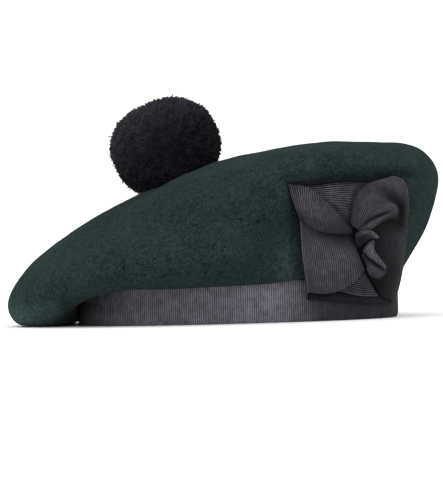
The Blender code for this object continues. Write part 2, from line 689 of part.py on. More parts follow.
def make_petal(petal, seat, material, collection):
    """One ribbon loop of the pinwheel, a sheet of ribbon."""
    rows = [[stitch_point(seat, stitch) for stitch in row] for row in petal.rows]
    grid = grid_through(rows, PETAL_STEPS_ALONG, PETAL_STEPS_ACROSS)
    normals = outward(grid, grid_normals(grid))
    thickness = RIBBON_THICKNESS * petal.thickness
    moves = [[normal * -thickness for normal in line] for line in normals]
    return finish_object(petal.name, sheet(grid, moves), material, collection)


def make_ground(seat, collection):
    """The piece of ribbon behind the pinwheel, sewn to the hat's side."""
    outline = [[Vector((across, up, 0.0)) for across, up in row] for row in GROUND_ROWS]
    shares = grid_through(outline, GROUND_STEPS, GROUND_STEPS)
    grid = [[seat.raised(p.x, p.y, GAP + GROUND_THICKNESS) for p in row] for row in shares]
    normals = outward(grid, grid_normals(grid))
    moves = [[normal * -GROUND_THICKNESS for normal in line] for line in normals]
    ribbon = make_material("black_ground_ribbon", (0.014, 0.013, 0.016), 0.8)
    return finish_object("cockade_ground", sheet(grid, moves), ribbon, collection)


def main():
    """Models the whole hat."""
    remove_everything()
    collection = bpy.data.collections.new("balmoral_bonnet")
    bpy.context.scene.collection.children.link(collection)
    crown_mesh = close_loft(crown_rings(), crown_centre())
    crown_skin = BVHTree.FromBMesh(crown_mesh)
    crown_mesh.free()
    band_mesh = close_loft([band_outline(inset, height) for inset, height in band_profile()])
    band_skin = BVHTree.FromBMesh(band_mesh)
    band_mesh.free()
    make_crown(collection)
    make_band(collection)
    make_toorie(collection, crown_skin)
    seat = Seat((crown_skin, band_skin))
    make_ground(seat, collection)
    for petal in PETALS:
        ribbon = make_material(petal.name + "_ribbon", (0.020, 0.019, 0.023), 0.75)
        make_petal(petal, seat, ribbon, collection)


main()
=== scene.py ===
"""Balmoral bonnet in a pale studio: felt crown, ribbon band, woollen toorie, ribbon cockade.

Metres, +Z up. The hat lies on the plane z = 0, the cockade is on its +X side, the crown hangs
down towards -X and the camera looks along +Y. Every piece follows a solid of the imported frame.
"""
import logging
import math
from dataclasses import dataclass, field
from enum import Enum
from typing import Callable

import bmesh
import bpy
import numpy as np
from mathutils import Matrix, Vector, noise
from mathutils.bvhtree import BVHTree


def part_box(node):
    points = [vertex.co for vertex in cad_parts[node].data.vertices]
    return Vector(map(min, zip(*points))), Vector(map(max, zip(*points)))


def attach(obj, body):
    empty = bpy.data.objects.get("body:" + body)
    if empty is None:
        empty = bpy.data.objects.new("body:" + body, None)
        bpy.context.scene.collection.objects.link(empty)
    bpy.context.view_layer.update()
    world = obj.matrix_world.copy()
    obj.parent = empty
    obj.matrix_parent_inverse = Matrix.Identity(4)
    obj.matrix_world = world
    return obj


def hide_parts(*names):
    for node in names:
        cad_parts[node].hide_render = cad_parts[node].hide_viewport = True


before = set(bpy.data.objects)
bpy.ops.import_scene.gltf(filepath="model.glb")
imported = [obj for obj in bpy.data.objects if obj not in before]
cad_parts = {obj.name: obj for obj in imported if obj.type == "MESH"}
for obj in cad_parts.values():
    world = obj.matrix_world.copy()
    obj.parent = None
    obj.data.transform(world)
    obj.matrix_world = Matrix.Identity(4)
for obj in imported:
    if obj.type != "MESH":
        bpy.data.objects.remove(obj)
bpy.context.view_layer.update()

BODY = "root"
RIB = 0.00130
HUNDREDTH = 0.01
LOG = logging.getLogger("balmoral_bonnet")

Colour = tuple[float, float, float]
Turn = tuple[float, float, float]
Range = tuple[float, float]
Stitch = tuple[float, float, float, float]
Grid = list[list[Vector]]
Socket = bpy.types.NodeSocket
Piece = bpy.types.Object
Material = bpy.types.Material
Mesh = bmesh.types.BMesh


class RibRun(Enum):
    """Which way a ribbon's ribs run on its piece."""

    ALONG_ROWS = "along the rows of stitches"
    ALONG_COLUMNS = "along the columns of stitches"


class Hold(Enum):
    """How a sheet of cloth is held."""

    FOLDED = "folded"
    LAID = "laid"
    STRETCHED = "stretched"


@dataclass(frozen=True)
class Cloud:
    """Soft noise: its features per metre, its finer layers and how strong they are."""

    scale: float
    detail: float = 2.0
    rough: float = 0.55


@dataclass(frozen=True)
class Gloss:
    """How a surface takes the light, with the sheen that its standing fibres catch."""

    roughness: float
    specular: float
    sheen: float
    sheen_spread: float
    sheen_tint: Colour


class Weave:
    """A material's node tree, added to one node at a time."""

    # The Mix node's share and colours among its inputs, and its colour among its outputs.
    MIX_INPUTS = (0, 6, 7)
    MIX_OUTPUT = 2

    def __init__(self, name: str) -> None:
        """Starts a Principled material of a name."""
        self.material = bpy.data.materials.new(name)
        self.material.use_nodes = True
        self.tree = self.material.node_tree
        self.shader = self.tree.nodes["Principled BSDF"]
        self.place = self.tree.nodes.new("ShaderNodeTexCoord").outputs

    def feed(self, socket: Socket, value: object) -> None:
        """Gives an input a value, or links another node's output to it."""
        if isinstance(value, Socket):
            self.tree.links.new(value, socket)
        else:
            socket.default_value = value

    def node(self, kind: str, settings: dict | None = None, **inputs: object) -> bpy.types.Node:
        """Adds a node.

        Args:
            kind: the node's type, without ShaderNode.
            settings: values of the node's own properties.
            inputs: a value or a socket for each input, by its name with _ for a space.

        Returns:
            The node.
        """
        node = self.tree.nodes.new("ShaderNode" + kind)
        for key, value in (settings or {}).items():
            setattr(node, key, value)
        for key, value in inputs.items():
            self.feed(node.inputs[key.replace("_", " ")], value)
        return node

    def arithmetic(self, operation: str, *numbers: object) -> Socket:
        """Combines numbers or sockets by a Math node's operation and returns the result."""
        node = self.node("Math", {"operation": operation})
        for socket, value in zip(node.inputs, numbers):
            self.feed(socket, value)
        return node.outputs[0]

    def weighed(self, *parts: tuple[Socket, float]) -> Socket:
        """The sum of sockets, each times its weight."""
        total = 0.0
        for socket, weight in parts:
            total = self.arithmetic("MULTIPLY_ADD", socket, weight, total)
        return total

    def attribute(self, name: str) -> Socket:
        """The number that the piece's mesh holds under a name."""
        return self.node("Attribute", {"attribute_name": name}).outputs["Fac"]

    def cloud(self, place: Socket, cloud: Cloud) -> Socket:
        """Noise from 0 to 1 by place."""
        node = self.node("TexNoise", Vector=place, Scale=cloud.scale, Detail=cloud.detail,
                         Roughness=cloud.rough)
        return node.outputs[0]

    def ramp(self, value: Socket, ends: Range) -> Socket:
        """A share that goes from 0 to 1 as the value goes from one end to the other."""
        return self.node("MapRange", Value=value, From_Min=ends[0], From_Max=ends[1]).outputs[0]

    def mix(self, kind: str, share: Socket, first: object, second: object) -> Socket:
        """Combines two colours.

        Args:
            kind: the Mix node's blend type.
            share: how much of the second there is, which may pass 1.
            first: the colour below, as four numbers or a socket.
            second: the colour that comes over it.

        Returns:
            The colour's socket.
        """
        node = self.node("Mix", {"data_type": "RGBA", "blend_type": kind, "clamp_factor": False})
        for index, value in zip(self.MIX_INPUTS, (share, first, second)):
            self.feed(node.inputs[index], value)
        return node.outputs[self.MIX_OUTPUT]

    def bump(self, height: Socket, depth: float, strength: float) -> None:
        """Adds relief of a depth in metres to the shader's normal, over any there already."""
        normal = self.shader.inputs["Normal"]
        below = {"Normal": normal.links[0].from_socket} if normal.links else {}
        node = self.node("Bump", Height=height, Distance=depth, Strength=strength, **below)
        self.feed(normal, node.outputs["Normal"])

    def finish(self, colour: object, gloss: Gloss) -> Material:
        """Gives the shader its base colour and gloss and returns the material."""
        inputs = self.shader.inputs
        self.feed(inputs["Base Color"], colour)
        inputs["Roughness"].default_value = gloss.roughness
        inputs["Specular IOR Level"].default_value = gloss.specular
        inputs["Sheen Weight"].default_value = gloss.sheen
        inputs["Sheen Roughness"].default_value = gloss.sheen_spread
        inputs["Sheen Tint"].default_value = (*gloss.sheen_tint, 1.0)
        return self.material


@dataclass(frozen=True)
class FeltFinish:
    """Fulled wool felt: mottled green, with a short nap and paler stray fibres.

    A point attribute holds painted shade: the share of its colour taken away where shade falls, below 0
    where painted light makes it paler.
    """

    name: str = "bottle_green_felt"
    deep: Colour = (0.0022, 0.0050, 0.0056)
    fair: Colour = (0.0185, 0.0318, 0.0310)
    fair_ends: Range = (0.37, 0.62)
    stray: Colour = (0.040, 0.090, 0.080)
    stray_ends: Range = (0.62, 0.74)
    stray_share: float = 0.6
    patches: Cloud = Cloud(42.0)
    patch_weight: float = 0.15
    mottle: Cloud = Cloud(300.0)
    mottle_weight: float = 0.25
    grain: Cloud = Cloud(820.0, 5.0, 0.65)
    grain_weight: float = 0.60
    grain_relief: float = 1.2
    nap: Cloud = Cloud(1900.0, 4.0, 0.7)
    nap_depth: float = 0.00022
    nap_strength: float = 0.9
    gloss: Gloss = Gloss(1.0, 0.0, 0.03, 0.55, (0.55, 0.80, 0.74))

    def material(self) -> Material:
        """Builds the material on Object coordinates."""
        weave = Weave(self.name)
        place = weave.place["Object"]
        grain, nap = weave.cloud(place, self.grain), weave.cloud(place, self.nap)
        share = weave.weighed(
            (weave.cloud(place, self.patches), self.patch_weight),
            (weave.cloud(place, self.mottle), self.mottle_weight),
            (grain, self.grain_weight),
        )
        share = weave.ramp(share, self.fair_ends)
        colour = weave.mix("MIX", share, (*self.deep, 1.0), (*self.fair, 1.0))
        strays = weave.arithmetic("MULTIPLY", weave.ramp(nap, self.stray_ends), self.stray_share)
        colour = weave.mix("MIX", strays, colour, (*self.stray, 1.0))
        # Painted shade darkens the colour here, and painted light pales it where the attribute is below
        # 0.
        unshaded_share = weave.arithmetic("SUBTRACT", 1.0, weave.attribute("painted_shading"))
        colour = weave.mix("MIX", unshaded_share, (0.0, 0.0, 0.0, 1.0), colour)
        relief = weave.weighed((nap, 1.0), (grain, self.grain_relief))
        weave.bump(relief, self.nap_depth, self.nap_strength)
        return weave.finish(colour, self.gloss)


@dataclass(frozen=True)
class RibbonFinish:
    """Grosgrain ribbon: cords across it, bound by fine threads along it.

    The piece's UV map gives the place on the ribbon in metres, u along the cords. One of its attributes
    holds painted light and shade, how pale the cords are painted, and "fuzz" how far they have blurred.
    """

    name: str
    # The dark valley colour is painted shade between the cords, and the pale cord colour a painted
    # highlight on them.
    valley: Colour = (0.0022, 0.0019, 0.0030)
    cord: Colour = (0.077, 0.071, 0.086)
    cord_weight: float = -0.5
    cord_ends: Range = (0.60, 1.35)
    blurred: float = 0.5
    wander: Cloud = Cloud(260.0)
    wander_weight: float = 0.6
    beads: Cloud = Cloud(1300.0, 1.0)
    rubs: Cloud = Cloud(130.0)
    least_rub: float = 0.5
    thread: float = 0.00030
    thread_depth: float = 0.00003
    lint: Cloud = Cloud(3800.0)
    lint_depth: float = 0.00005
    relief_strength: float = 0.6
    gloss: Gloss = Gloss(0.62, 0.05, 0.03, 0.45, (0.9, 0.9, 1.0))

    def material(self) -> Material:
        """Builds the material on the piece's UV map."""
        weave = Weave(self.name)
        place = weave.place["UV"]
        parts = weave.node("SeparateXYZ", Vector=place).outputs
        cords = weave.arithmetic("MULTIPLY", parts["Y"], 2 * math.pi / RIB)
        share = weave.weighed(
            (weave.arithmetic("COSINE", cords), self.cord_weight),
            (weave.cloud(place, self.wander), self.wander_weight),
            (weave.cloud(place, self.beads), 1.0),
        )
        pale = weave.ramp(share, self.cord_ends)
        lost = weave.arithmetic("SUBTRACT", self.blurred, pale)
        pale = weave.arithmetic("MULTIPLY_ADD", lost, weave.attribute("fuzz"), pale)
        rubs = weave.arithmetic("ADD", weave.cloud(place, self.rubs), self.least_rub)
        # Painted light and shade on the cords, times random rubs.
        rubs_and_painted_light = weave.arithmetic("MULTIPLY", weave.attribute("painted_light"), rubs)
        pale = weave.arithmetic("MULTIPLY", pale, rubs_and_painted_light)
        colour = weave.mix("ADD", pale, (*self.valley, 1.0), (*self.cord, 1.0))
        threads = weave.arithmetic("MULTIPLY", parts["X"], 2 * math.pi / self.thread)
        weave.bump(weave.arithmetic("SINE", threads), self.thread_depth, self.relief_strength)
        weave.bump(weave.cloud(place, self.lint), self.lint_depth, self.relief_strength)
        return weave.finish(colour, self.gloss)


@dataclass(frozen=True)
class YarnFinish:
    """Cut wool yarn, painted darker at its root than at its tip, as shade deep in the pile.

    The attribute "tip" is 0 at a tuft's root and 1 at its end, and "shade" differs by tuft and holds
    painted light on tufts towards the top left.
    """

    name: str = "black_wool_yarn"
    # The root's far darker colour is painted shade deep in the pile.
    root: Colour = (0.0007, 0.0005, 0.0014)
    tip: Colour = (0.0168, 0.0154, 0.0200)
    tip_ends: Range = (0.35, 1.0)
    fibres: Cloud = Cloud(2600.0, 3.0)
    fibre_depth: float = 0.0002
    fibre_strength: float = 0.8
    gloss: Gloss = Gloss(1.0, 0.02, 0.06, 0.6, (0.8, 0.75, 0.95))

    def material(self) -> Material:
        """Builds the material on the tufts' attributes."""
        weave = Weave(self.name)
        tip = weave.ramp(weave.attribute("tip"), self.tip_ends)
        pale = weave.arithmetic("MULTIPLY", tip, weave.attribute("shade"))
        colour = weave.mix("ADD", pale, (*self.root, 1.0), (*self.tip, 1.0))
        fibres = weave.cloud(weave.place["Object"], self.fibres)
        weave.bump(fibres, self.fibre_depth, self.fibre_strength)
        return weave.finish(colour, self.gloss)


@dataclass(frozen=True)
class FloorFinish:
    """Plain pale floor."""

    name: str = "pale_floor"
    colour: Colour = (0.935, 0.935, 0.935)
    gloss: Gloss = Gloss(0.9, 0.2, 0.0, 0.5, (1.0, 1.0, 1.0))

    def material(self) -> Material:
        """Builds the material."""
        return Weave(self.name).finish((*self.colour, 1.0), self.gloss)


def smoothstep(low: float, high: float, value: float) -> float:
    """0 below low, 1 above high, and a soft step between them."""
    share = min(max((value - low) / (high - low), 0.0), 1.0)
    return share * share * (3 - 2 * share)


def fade(low: float, high: float, value: float) -> float:
    """1 below low, 0 above high, and a soft step between them."""
    return 1 - smoothstep(low, high, value)


def smooth_path(points: list[Vector], steps: list[int]) -> list[Vector]:
    """A rounded curve through points.

    Args:
        points: the places that it goes through.
        steps: how many steps each stretch takes.

    Returns:
        The curve's points.
    """
    last = len(points) - 1
    knots = [0.0]
    for start, end in zip(points, points[1:]):
        knots.append(knots[-1] + max((end - start).length, 1e-6) ** 0.5)
    slopes = [(b - a) / (v - u) for a, b, u, v in zip(points, points[1:], knots, knots[1:])]
    tangents = [slopes[0]]
    for index in range(1, last):
        share = (knots[index + 1] - knots[index]) / (knots[index + 1] - knots[index - 1])
        tangents.append(slopes[index - 1] * share + slopes[index] * (1 - share))
    tangents.append(slopes[-1])
    path = [points[0].copy()]
    for index in range(last):
        span = knots[index + 1] - knots[index]
        for step in range(1, steps[index] + 1):
            t = step / steps[index]
            path.append(
                points[index] * (2 * t ** 3 - 3 * t ** 2 + 1)
                + tangents[index] * span * (t ** 3 - 2 * t ** 2 + t)
                + points[index + 1] * (3 * t ** 2 - 2 * t ** 3)
                + tangents[index + 1] * span * (t ** 3 - t ** 2)
            )
    return path


def spread_steps(stretches: int, total: int) -> list[int]:
    """Shares a number of steps out over a number of stretches."""
    return [total * (i + 1) // stretches - total * i // stretches for i in range(stretches)]


def grid_through(rows: Grid, along: int, across: int) -> Grid:
    """A smooth grid through rows of points, with steps from row to row and along a row."""
    wide = [smooth_path(row, spread_steps(len(row) - 1, across)) for row in rows]
    tall = [smooth_path(list(column), spread_steps(len(rows) - 1, along)) for column in zip(*wide)]
    return [list(row) for row in zip(*tall)]


def grid_normals(grid: Grid) -> Grid:
    """Unit normals at each point of a grid, away from the hat's inside."""
    places = np.array([[point[:] for point in row] for row in grid])
    normals = np.cross(np.gradient(places, axis=1), np.gradient(places, axis=0))
    normals /= np.linalg.norm(normals, axis=2, keepdims=True)
    outward = (normals[:, :, :2] * places[:, :, :2]).sum()
    return [[Vector(normal) for normal in row] for row in normals * np.sign(outward)]


def lengths_along(points: list[Vector]) -> list[float]:
    """The distance from the first point to each, along them."""
    lengths = [0.0]
    for start, end in zip(points, points[1:]):
        lengths.append(lengths[-1] + (end - start).length)
    return lengths


def size_of(grid: Grid) -> tuple[float, float]:
    """A grid's greatest width along its rows, and greatest length along its sides and middle."""
    columns = [[row[j] for row in grid] for j in (0, len(grid[0]) // 2, -1)]
    return tuple(max(lengths_along(line)[-1] for line in lines) for lines in (grid, columns))


def skin_of(piece: Piece) -> BVHTree:
    """A piece's or solid's surface, to cast rays at."""
    mesh = bmesh.new()
    mesh.from_mesh(piece.data)
    skin = BVHTree.FromBMesh(mesh)
    mesh.free()
    return skin


def add_piece(name: str, data: bpy.types.Mesh, material: Material) -> Piece:
    """Puts a mesh into the scene as a named, smooth-shaded piece with its finish."""
    data.shade_smooth()
    data.materials.append(material)
    piece = bpy.data.objects.new(name, data)
    bpy.context.scene.collection.objects.link(piece)
    return piece


def new_piece(name: str, mesh: Mesh, material: Material) -> Piece:
    """Makes a piece of a bmesh, as add_piece does of a mesh, and frees the bmesh."""
    data = bpy.data.meshes.new(name)
    mesh.to_mesh(data)
    mesh.free()
    return add_piece(name, data, material)


def settle(piece: Piece) -> None:
    """Makes a piece's modifiers part of its mesh."""
    bpy.context.view_layer.update()
    shaped = piece.evaluated_get(bpy.context.evaluated_depsgraph_get())
    data = bpy.data.meshes.new_from_object(shaped)
    piece.modifiers.clear()
    old, piece.data = piece.data, data
    data.name = piece.name
    bpy.data.meshes.remove(old)


def dress(piece: Piece, node: str) -> Piece:
    """Rides a piece on the hat in place of a solid, and reports it."""
    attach(piece, BODY)
    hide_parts(node)
    LOG.info("%s: %d faces", piece.name, len(piece.data.polygons))
    return piece


@dataclass
class Oval:
    """The band's oval round the head, flatter along its sides than an ellipse."""

    centre: Vector = field(default_factory=lambda: Vector((0.008, 0.001, 0.0)))
    half_width: float = 0.0975
    half_depth: float = 0.080
    squareness: float = 2.3
    fine_steps: int = 7200

    def reach(self, azimuth: float, inset: float = 0.0) -> float:
        """Distance from the middle to the oval, or to one inset from it, towards an azimuth."""
        wide = abs(math.cos(azimuth)) / (self.half_width - inset)
        deep = abs(math.sin(azimuth)) / (self.half_depth - inset)
        return (wide ** self.squareness + deep ** self.squareness) ** (-1 / self.squareness)

    def place(self, azimuth: float, reach: float, height: float) -> Vector:
        """The point at a reach from the middle and a height."""
        return self.centre + Vector((reach * math.cos(azimuth), reach * math.sin(azimuth), height))

    def lengths(self) -> tuple[list[float], list[float]]:
        """Azimuths all round in fine steps, with the oval's length up to each."""
        azimuths = [2 * math.pi * i / self.fine_steps for i in range(self.fine_steps + 1)]
        return azimuths, lengths_along([self.place(a, self.reach(a), 0.0) for a in azimuths])


@dataclass
class FeltCrown:
    """The felt crown: the solid's wall made fine, with the unevenness of blocked and long-used felt.

    Each dent, ripple, tuck and dip is a depth in metres. The painted shading fields are the shares of the
    colour taken away as painted shade above the cockade and in a ring around it, and added as painted
    light, below 0, beside it and where the felt lies down; the spots field holds round spots of painted
    shade and painted light, as x, z, reach and share in the photograph's plane.
    """

    finish: FeltFinish = FeltFinish()
    merge: float = 0.00001
    join_angle: float = math.radians(60)
    levels: int = 2
    seed: int = 7
    dent_depth: float = 0.0009
    dent_scale: float = 26.0
    ripple_depth: float = 0.00035
    ripple_scale: float = 90.0
    floor_clearance: float = 0.0003
    calm_above_band: Range = (0.0285, 0.042)
    calm_by_cockade: float = 0.016
    tuck_depth: float = 0.0022
    tuck_from: float = -0.0935
    tuck_reach: Range = (0.0015, 0.010)
    tuck_height: Range = (0.004, 0.018)
    tuck_width: Range = (0.018, 0.032)
    dip_depth: float = 0.0018
    dip_middle: float = 0.093
    dip_reach: float = 0.032
    dip_height: Range = (0.088, 0.104)
    # Painted shade above the cockade and in a ring round it, painted light beside it and where the felt
    # lies down, and spots of both.
    painted_shade_above: float = 0.45
    painted_light_beside: float = -0.6
    painted_shading_reach: Range = (0.001, 0.012)
    painted_shading_rise: Range = (0.45, 0.75)
    painted_shade_ring: float = 0.16
    ring_start: Range = (0.004, 0.012)
    ring_end: Range = (0.018, 0.035)
    painted_light_lying: float = -1.7
    lying_height: Range = (0.003, 0.020)
    lying_reach: Range = (-0.104, -0.094)
    painted_shading_spots: tuple[tuple[float, float, float, float], ...] = (
        (-0.036, 0.080, 0.034, 0.17), (0.036, 0.100, 0.045, -0.14), (-0.080, 0.058, 0.030, 0.06),
    )

    def build(self) -> Piece:
        """Makes the crown of its solid and dresses it."""
        mesh = bmesh.new()
        mesh.from_mesh(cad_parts["crown"].data)
        bmesh.ops.remove_doubles(mesh, verts=mesh.verts, dist=self.merge)
        bmesh.ops.join_triangles(mesh, faces=mesh.faces, angle_face_threshold=self.join_angle,
                                 angle_shape_threshold=self.join_angle)
        piece = new_piece("felt_crown", mesh, self.finish.material())
        smooth = piece.modifiers.new("fine felt", "SUBSURF")
        smooth.levels = smooth.render_levels = self.levels
        settle(piece)
        self.paint_shading_and_move(piece)
        return dress(piece, "crown")

    def paint_shading_and_move(self, piece: Piece) -> None:
        """Paints shade and light on the felt and moves it softly, but not where it is sewn or lies flat.
        """
        noise.seed_set(self.seed)
        low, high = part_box("cockade_ground")
        painted_shading = piece.data.attributes.new("painted_shading", "FLOAT", "POINT").data
        for vertex in piece.data.vertices:
            place = vertex.co.copy()
            away = Vector([max(a - p, p - b, 0.0) for a, p, b in zip(low, place, high)]).length
            # Painted shade and painted light, kept for the felt's material.
            painted_shading[vertex.index].value = self.painted_shading_at(place, low, high, away)
            free = smoothstep(0.0, self.calm_by_cockade, away)
            free *= smoothstep(*self.calm_above_band, place.z)
            dent = noise.noise_vector(place * self.dent_scale) * self.dent_depth
            ripple = noise.noise_vector(place * self.ripple_scale) * self.ripple_depth
            place += (dent + ripple) * free
            place.x += self.tuck(place)
            place.z = max(place.z - self.dip(place), self.floor_clearance)
            vertex.co = place

    def painted_shading_at(self, place: Vector, low: Vector, high: Vector, away: float) -> float:
        """The share of its colour that painted shade takes from the felt at a place.

        Args:
            place: the point of the felt.
            low: the low corner of the cockade's ground.
            high: its high corner.
            away: the point's distance from the box between them.

        Returns:
            The share, below 0 where painted light makes the felt paler.
        """
        # Two round spots of painted shade and one of painted light.
        painted_shading = sum(
            share * fade(0.0, reach, math.hypot(place.x - x, place.z - z))
            for x, z, reach, share in self.painted_shading_spots
        )
        near = fade(*self.painted_shading_reach, away)
        # Painted shade above the cockade; beside it, painted light low down and a ring of painted shade
        # higher up; and painted light where the felt lies down.
        if place.z > high[2]:
            painted_shading += self.painted_shade_above * near
        elif place.x < low[0]:
            down = fade(*self.painted_shading_rise, (place.z - low[2]) / (high[2] - low[2]))
            ring = smoothstep(*self.ring_start, away) * fade(*self.ring_end, away)
            painted_shading += self.painted_light_beside * near * down + self.painted_shade_ring * ring * (1 - down)
            painted_shading += self.painted_light_lying * fade(*self.lying_height, place.z) * fade(*self.lying_reach, place.x)
        return painted_shading

    def tuck(self, place: Vector) -> float:
        """How far the felt leans in against the band's end, where it drops to the floor."""
        beside = fade(*self.tuck_reach, abs(place.x - self.tuck_from))
        low = fade(*self.tuck_height, place.z)
        return self.tuck_depth * beside * low * fade(*self.tuck_width, abs(place.y))

    def dip(self, place: Vector) -> float:
        """How far the crown's top sinks over the cockade."""
        beside = fade(0.0, self.dip_reach, abs(place.x - self.dip_middle))
        return self.dip_depth * smoothstep(*self.dip_height, place.z) * beside


class RibbonGrid:
    """A grid of ribbon in the making, whose points go by their row and column."""

    def __init__(self, tall: int, wide: int) -> None:
        """Starts a flat grid with numbers of faces up and across."""
        self.mesh = bmesh.new()
        bmesh.ops.create_grid(self.mesh, x_segments=wide, y_segments=tall, size=1.0, calc_uvs=True)
        self.mesh.verts.index_update()
        self.spots = [
            (round((vertex.co.y + 1) / 2 * tall), round((vertex.co.x + 1) / 2 * wide))
            for vertex in self.mesh.verts
        ]

    def shape(self, face: Callable, out: Callable) -> None:
        """Moves the points to their places and turns the faces outwards.

        Args:
            face: gives the place of a row and column.
            out: gives a vector out of the ribbon's face there.
        """
        for vertex in self.mesh.verts:
            vertex.co = face(*self.spots[vertex.index])
        self.mesh.normal_update()
        facing = sum(side.normal.dot(out(*self.spots[side.verts[0].index])) for side in self.mesh.faces)
        if facing < 0:
            bmesh.ops.reverse_faces(self.mesh, faces=self.mesh.faces)

    def paint(self, name: str, value: Callable) -> None:
        """Gives each point an attribute, as a function of its row and column."""
        layer = self.mesh.verts.layers.float.new(name)
        for vertex in self.mesh.verts:
            vertex[layer] = value(*self.spots[vertex.index])

    def lay(self, place: Callable) -> None:
        """Gives each corner its place on the ribbon, as a function of its row and column."""
        layer = self.mesh.loops.layers.uv.verify()
        for side in self.mesh.faces:
            for corner in side.loops:
                corner[layer].uv = place(*self.spots[corner.vert.index])

    def finish(self, name: str, material: Material, thickness: float) -> Piece:
        """Makes the named piece, its thickness a live modifier inwards from its face."""
        piece = new_piece(name, self.mesh, material)
        wall = piece.modifiers.new("ribbon thickness", "SOLIDIFY")
        wall.thickness = thickness
        wall.offset = -1.0
        wall.use_even_offset = False
        return piece


@dataclass(frozen=True)
class Cords:
    """How the cords lie on a piece of ribbon.

    Fuzz is how far they have blurred into each other, from 0 to 1. Lean is their slope to the
    rows, and bow the share of it that is gone at the last row.
    """

    run: RibRun = RibRun.ALONG_ROWS
    fuzz: float = 0.0
    lean: float = 0.0
    bow: float = 0.0


@dataclass
class Grosgrain:
    """How a ribbon is woven and made: its cords, its edges and its thickness.

    A crease is told from a flat place by how far the face stands off its own average over crease_reach,
    as a share of crease_depth. By it, creases are painted darker, as painted shade, and ridges paler, as
    rubbing and painted light; one field gives how strongly.
    """

    rib_depth: float = 0.00020
    cord_power: float = 0.8
    steps_per_rib: int = 6
    edge: float = 0.0009
    edge_height: float = 0.8
    thickness: float = 0.0006
    crease_reach: float = 0.0014
    crease_depth: float = 0.00045
    rub_and_shade_strength: float = 0.7
    rub_and_shade_ends: Range = (0.3, 1.5)

    def height(self, ribs: float, from_edge: float) -> float:
        """How far the face stands out, by a count of ribs and the distance to an edge."""
        cord = abs(math.sin(math.pi * ribs)) ** self.cord_power
        woven = smoothstep(0.0, self.edge, from_edge)
        return self.rib_depth * (cord * woven + self.edge_height * (1 - woven))

    def sheet(self, name: str, grid: Grid, cords: Cords, material: Material,
              painted_light: Grid, thickness: float) -> Piece:
        """Makes a ribbed sheet of a fine grid of points.

        Args:
            name: the piece's name.
            grid: rows of points on the ribbon's face.
            cords: how the cords lie on it.
            material: the ribbon's finish, on a UV map in metres.
            painted_light: painted light and shade, how pale the cords are painted at each point, as the x
                of a vector, at least 0.
            thickness: the ribbon's thickness.

        Returns:
            The piece.
        """
        normals = grid_normals(grid)
        tall, wide = len(grid) - 1, len(grid[0]) - 1
        up = lengths_along([row[wide // 2] for row in grid])
        over = lengths_along(grid[tall // 2])
        leans = [cords.lean * (1 - cords.bow * length / up[-1]) for length in up]

        def spot(i: int, j: int) -> Range:
            """The place on the ribbon, along its cords and across them."""
            if cords.run is RibRun.ALONG_COLUMNS:
                return up[i], over[j]
            return over[j], up[i] + leans[i] * over[j]

        cord_length = spot(tall, wide)[0]

        def face(i: int, j: int) -> Vector:
            """The point of the ribbon's face, on its cords."""
            along, across = spot(i, j)
            from_edge = min(along, cord_length - along)
            return grid[i][j] + normals[i][j] * self.height(across / RIB, from_edge)

        ribbon = RibbonGrid(tall, wide)
        ribbon.shape(face, lambda i, j: normals[i][j])
        # Painted shade in the creases and paler ridges, times the painted light of each point.
        rub_and_crease_shade = self.ridge_rub_and_crease_shade(grid, normals, up, over)
        ribbon.paint("painted_light", lambda i, j: max(painted_light[i][j].x, 0.0) * rub_and_crease_shade[i, j])
        ribbon.paint("fuzz", lambda i, j: cords.fuzz)
        ribbon.lay(spot)
        return ribbon.finish(name, material, thickness)

    def ridge_rub_and_crease_shade(self, grid: Grid, normals: Grid, up: list[float], over: list[float]) -> np.ndarray:
        """How much paler the ribbon is on its ridges, as rubbing and painted light, and how much darker
        in its creases, as painted shade.

        Args:
            grid: rows of points on the ribbon's face.
            normals: the normals there.
            up: each row's distance from the first.
            over: each column's distance from the first.

        Returns:
            A factor for each point, 1 where the ribbon lies flat.
        """
        places = np.array([[point[:] for point in row] for row in grid])
        eased = places
        for axis, lengths in ((0, up), (1, over)):
            reach = max(round(self.crease_reach * (len(lengths) - 1) / lengths[-1]), 1)
            around = [(reach, reach) if side == axis else (0, 0) for side in range(3)]
            window = np.full(2 * reach + 1, 1 / (2 * reach + 1))
            for _ in range(2):
                padded = np.pad(eased, around, mode="reflect", reflect_type="odd")
                eased = np.apply_along_axis(np.convolve, axis, padded, window, "valid")
        away = np.array([[normal[:] for normal in row] for row in normals])
        proud = ((places - eased) * away).sum(axis=2) / self.crease_depth
        return np.clip(1 + np.tanh(proud) * self.rub_and_shade_strength, *self.rub_and_shade_ends)


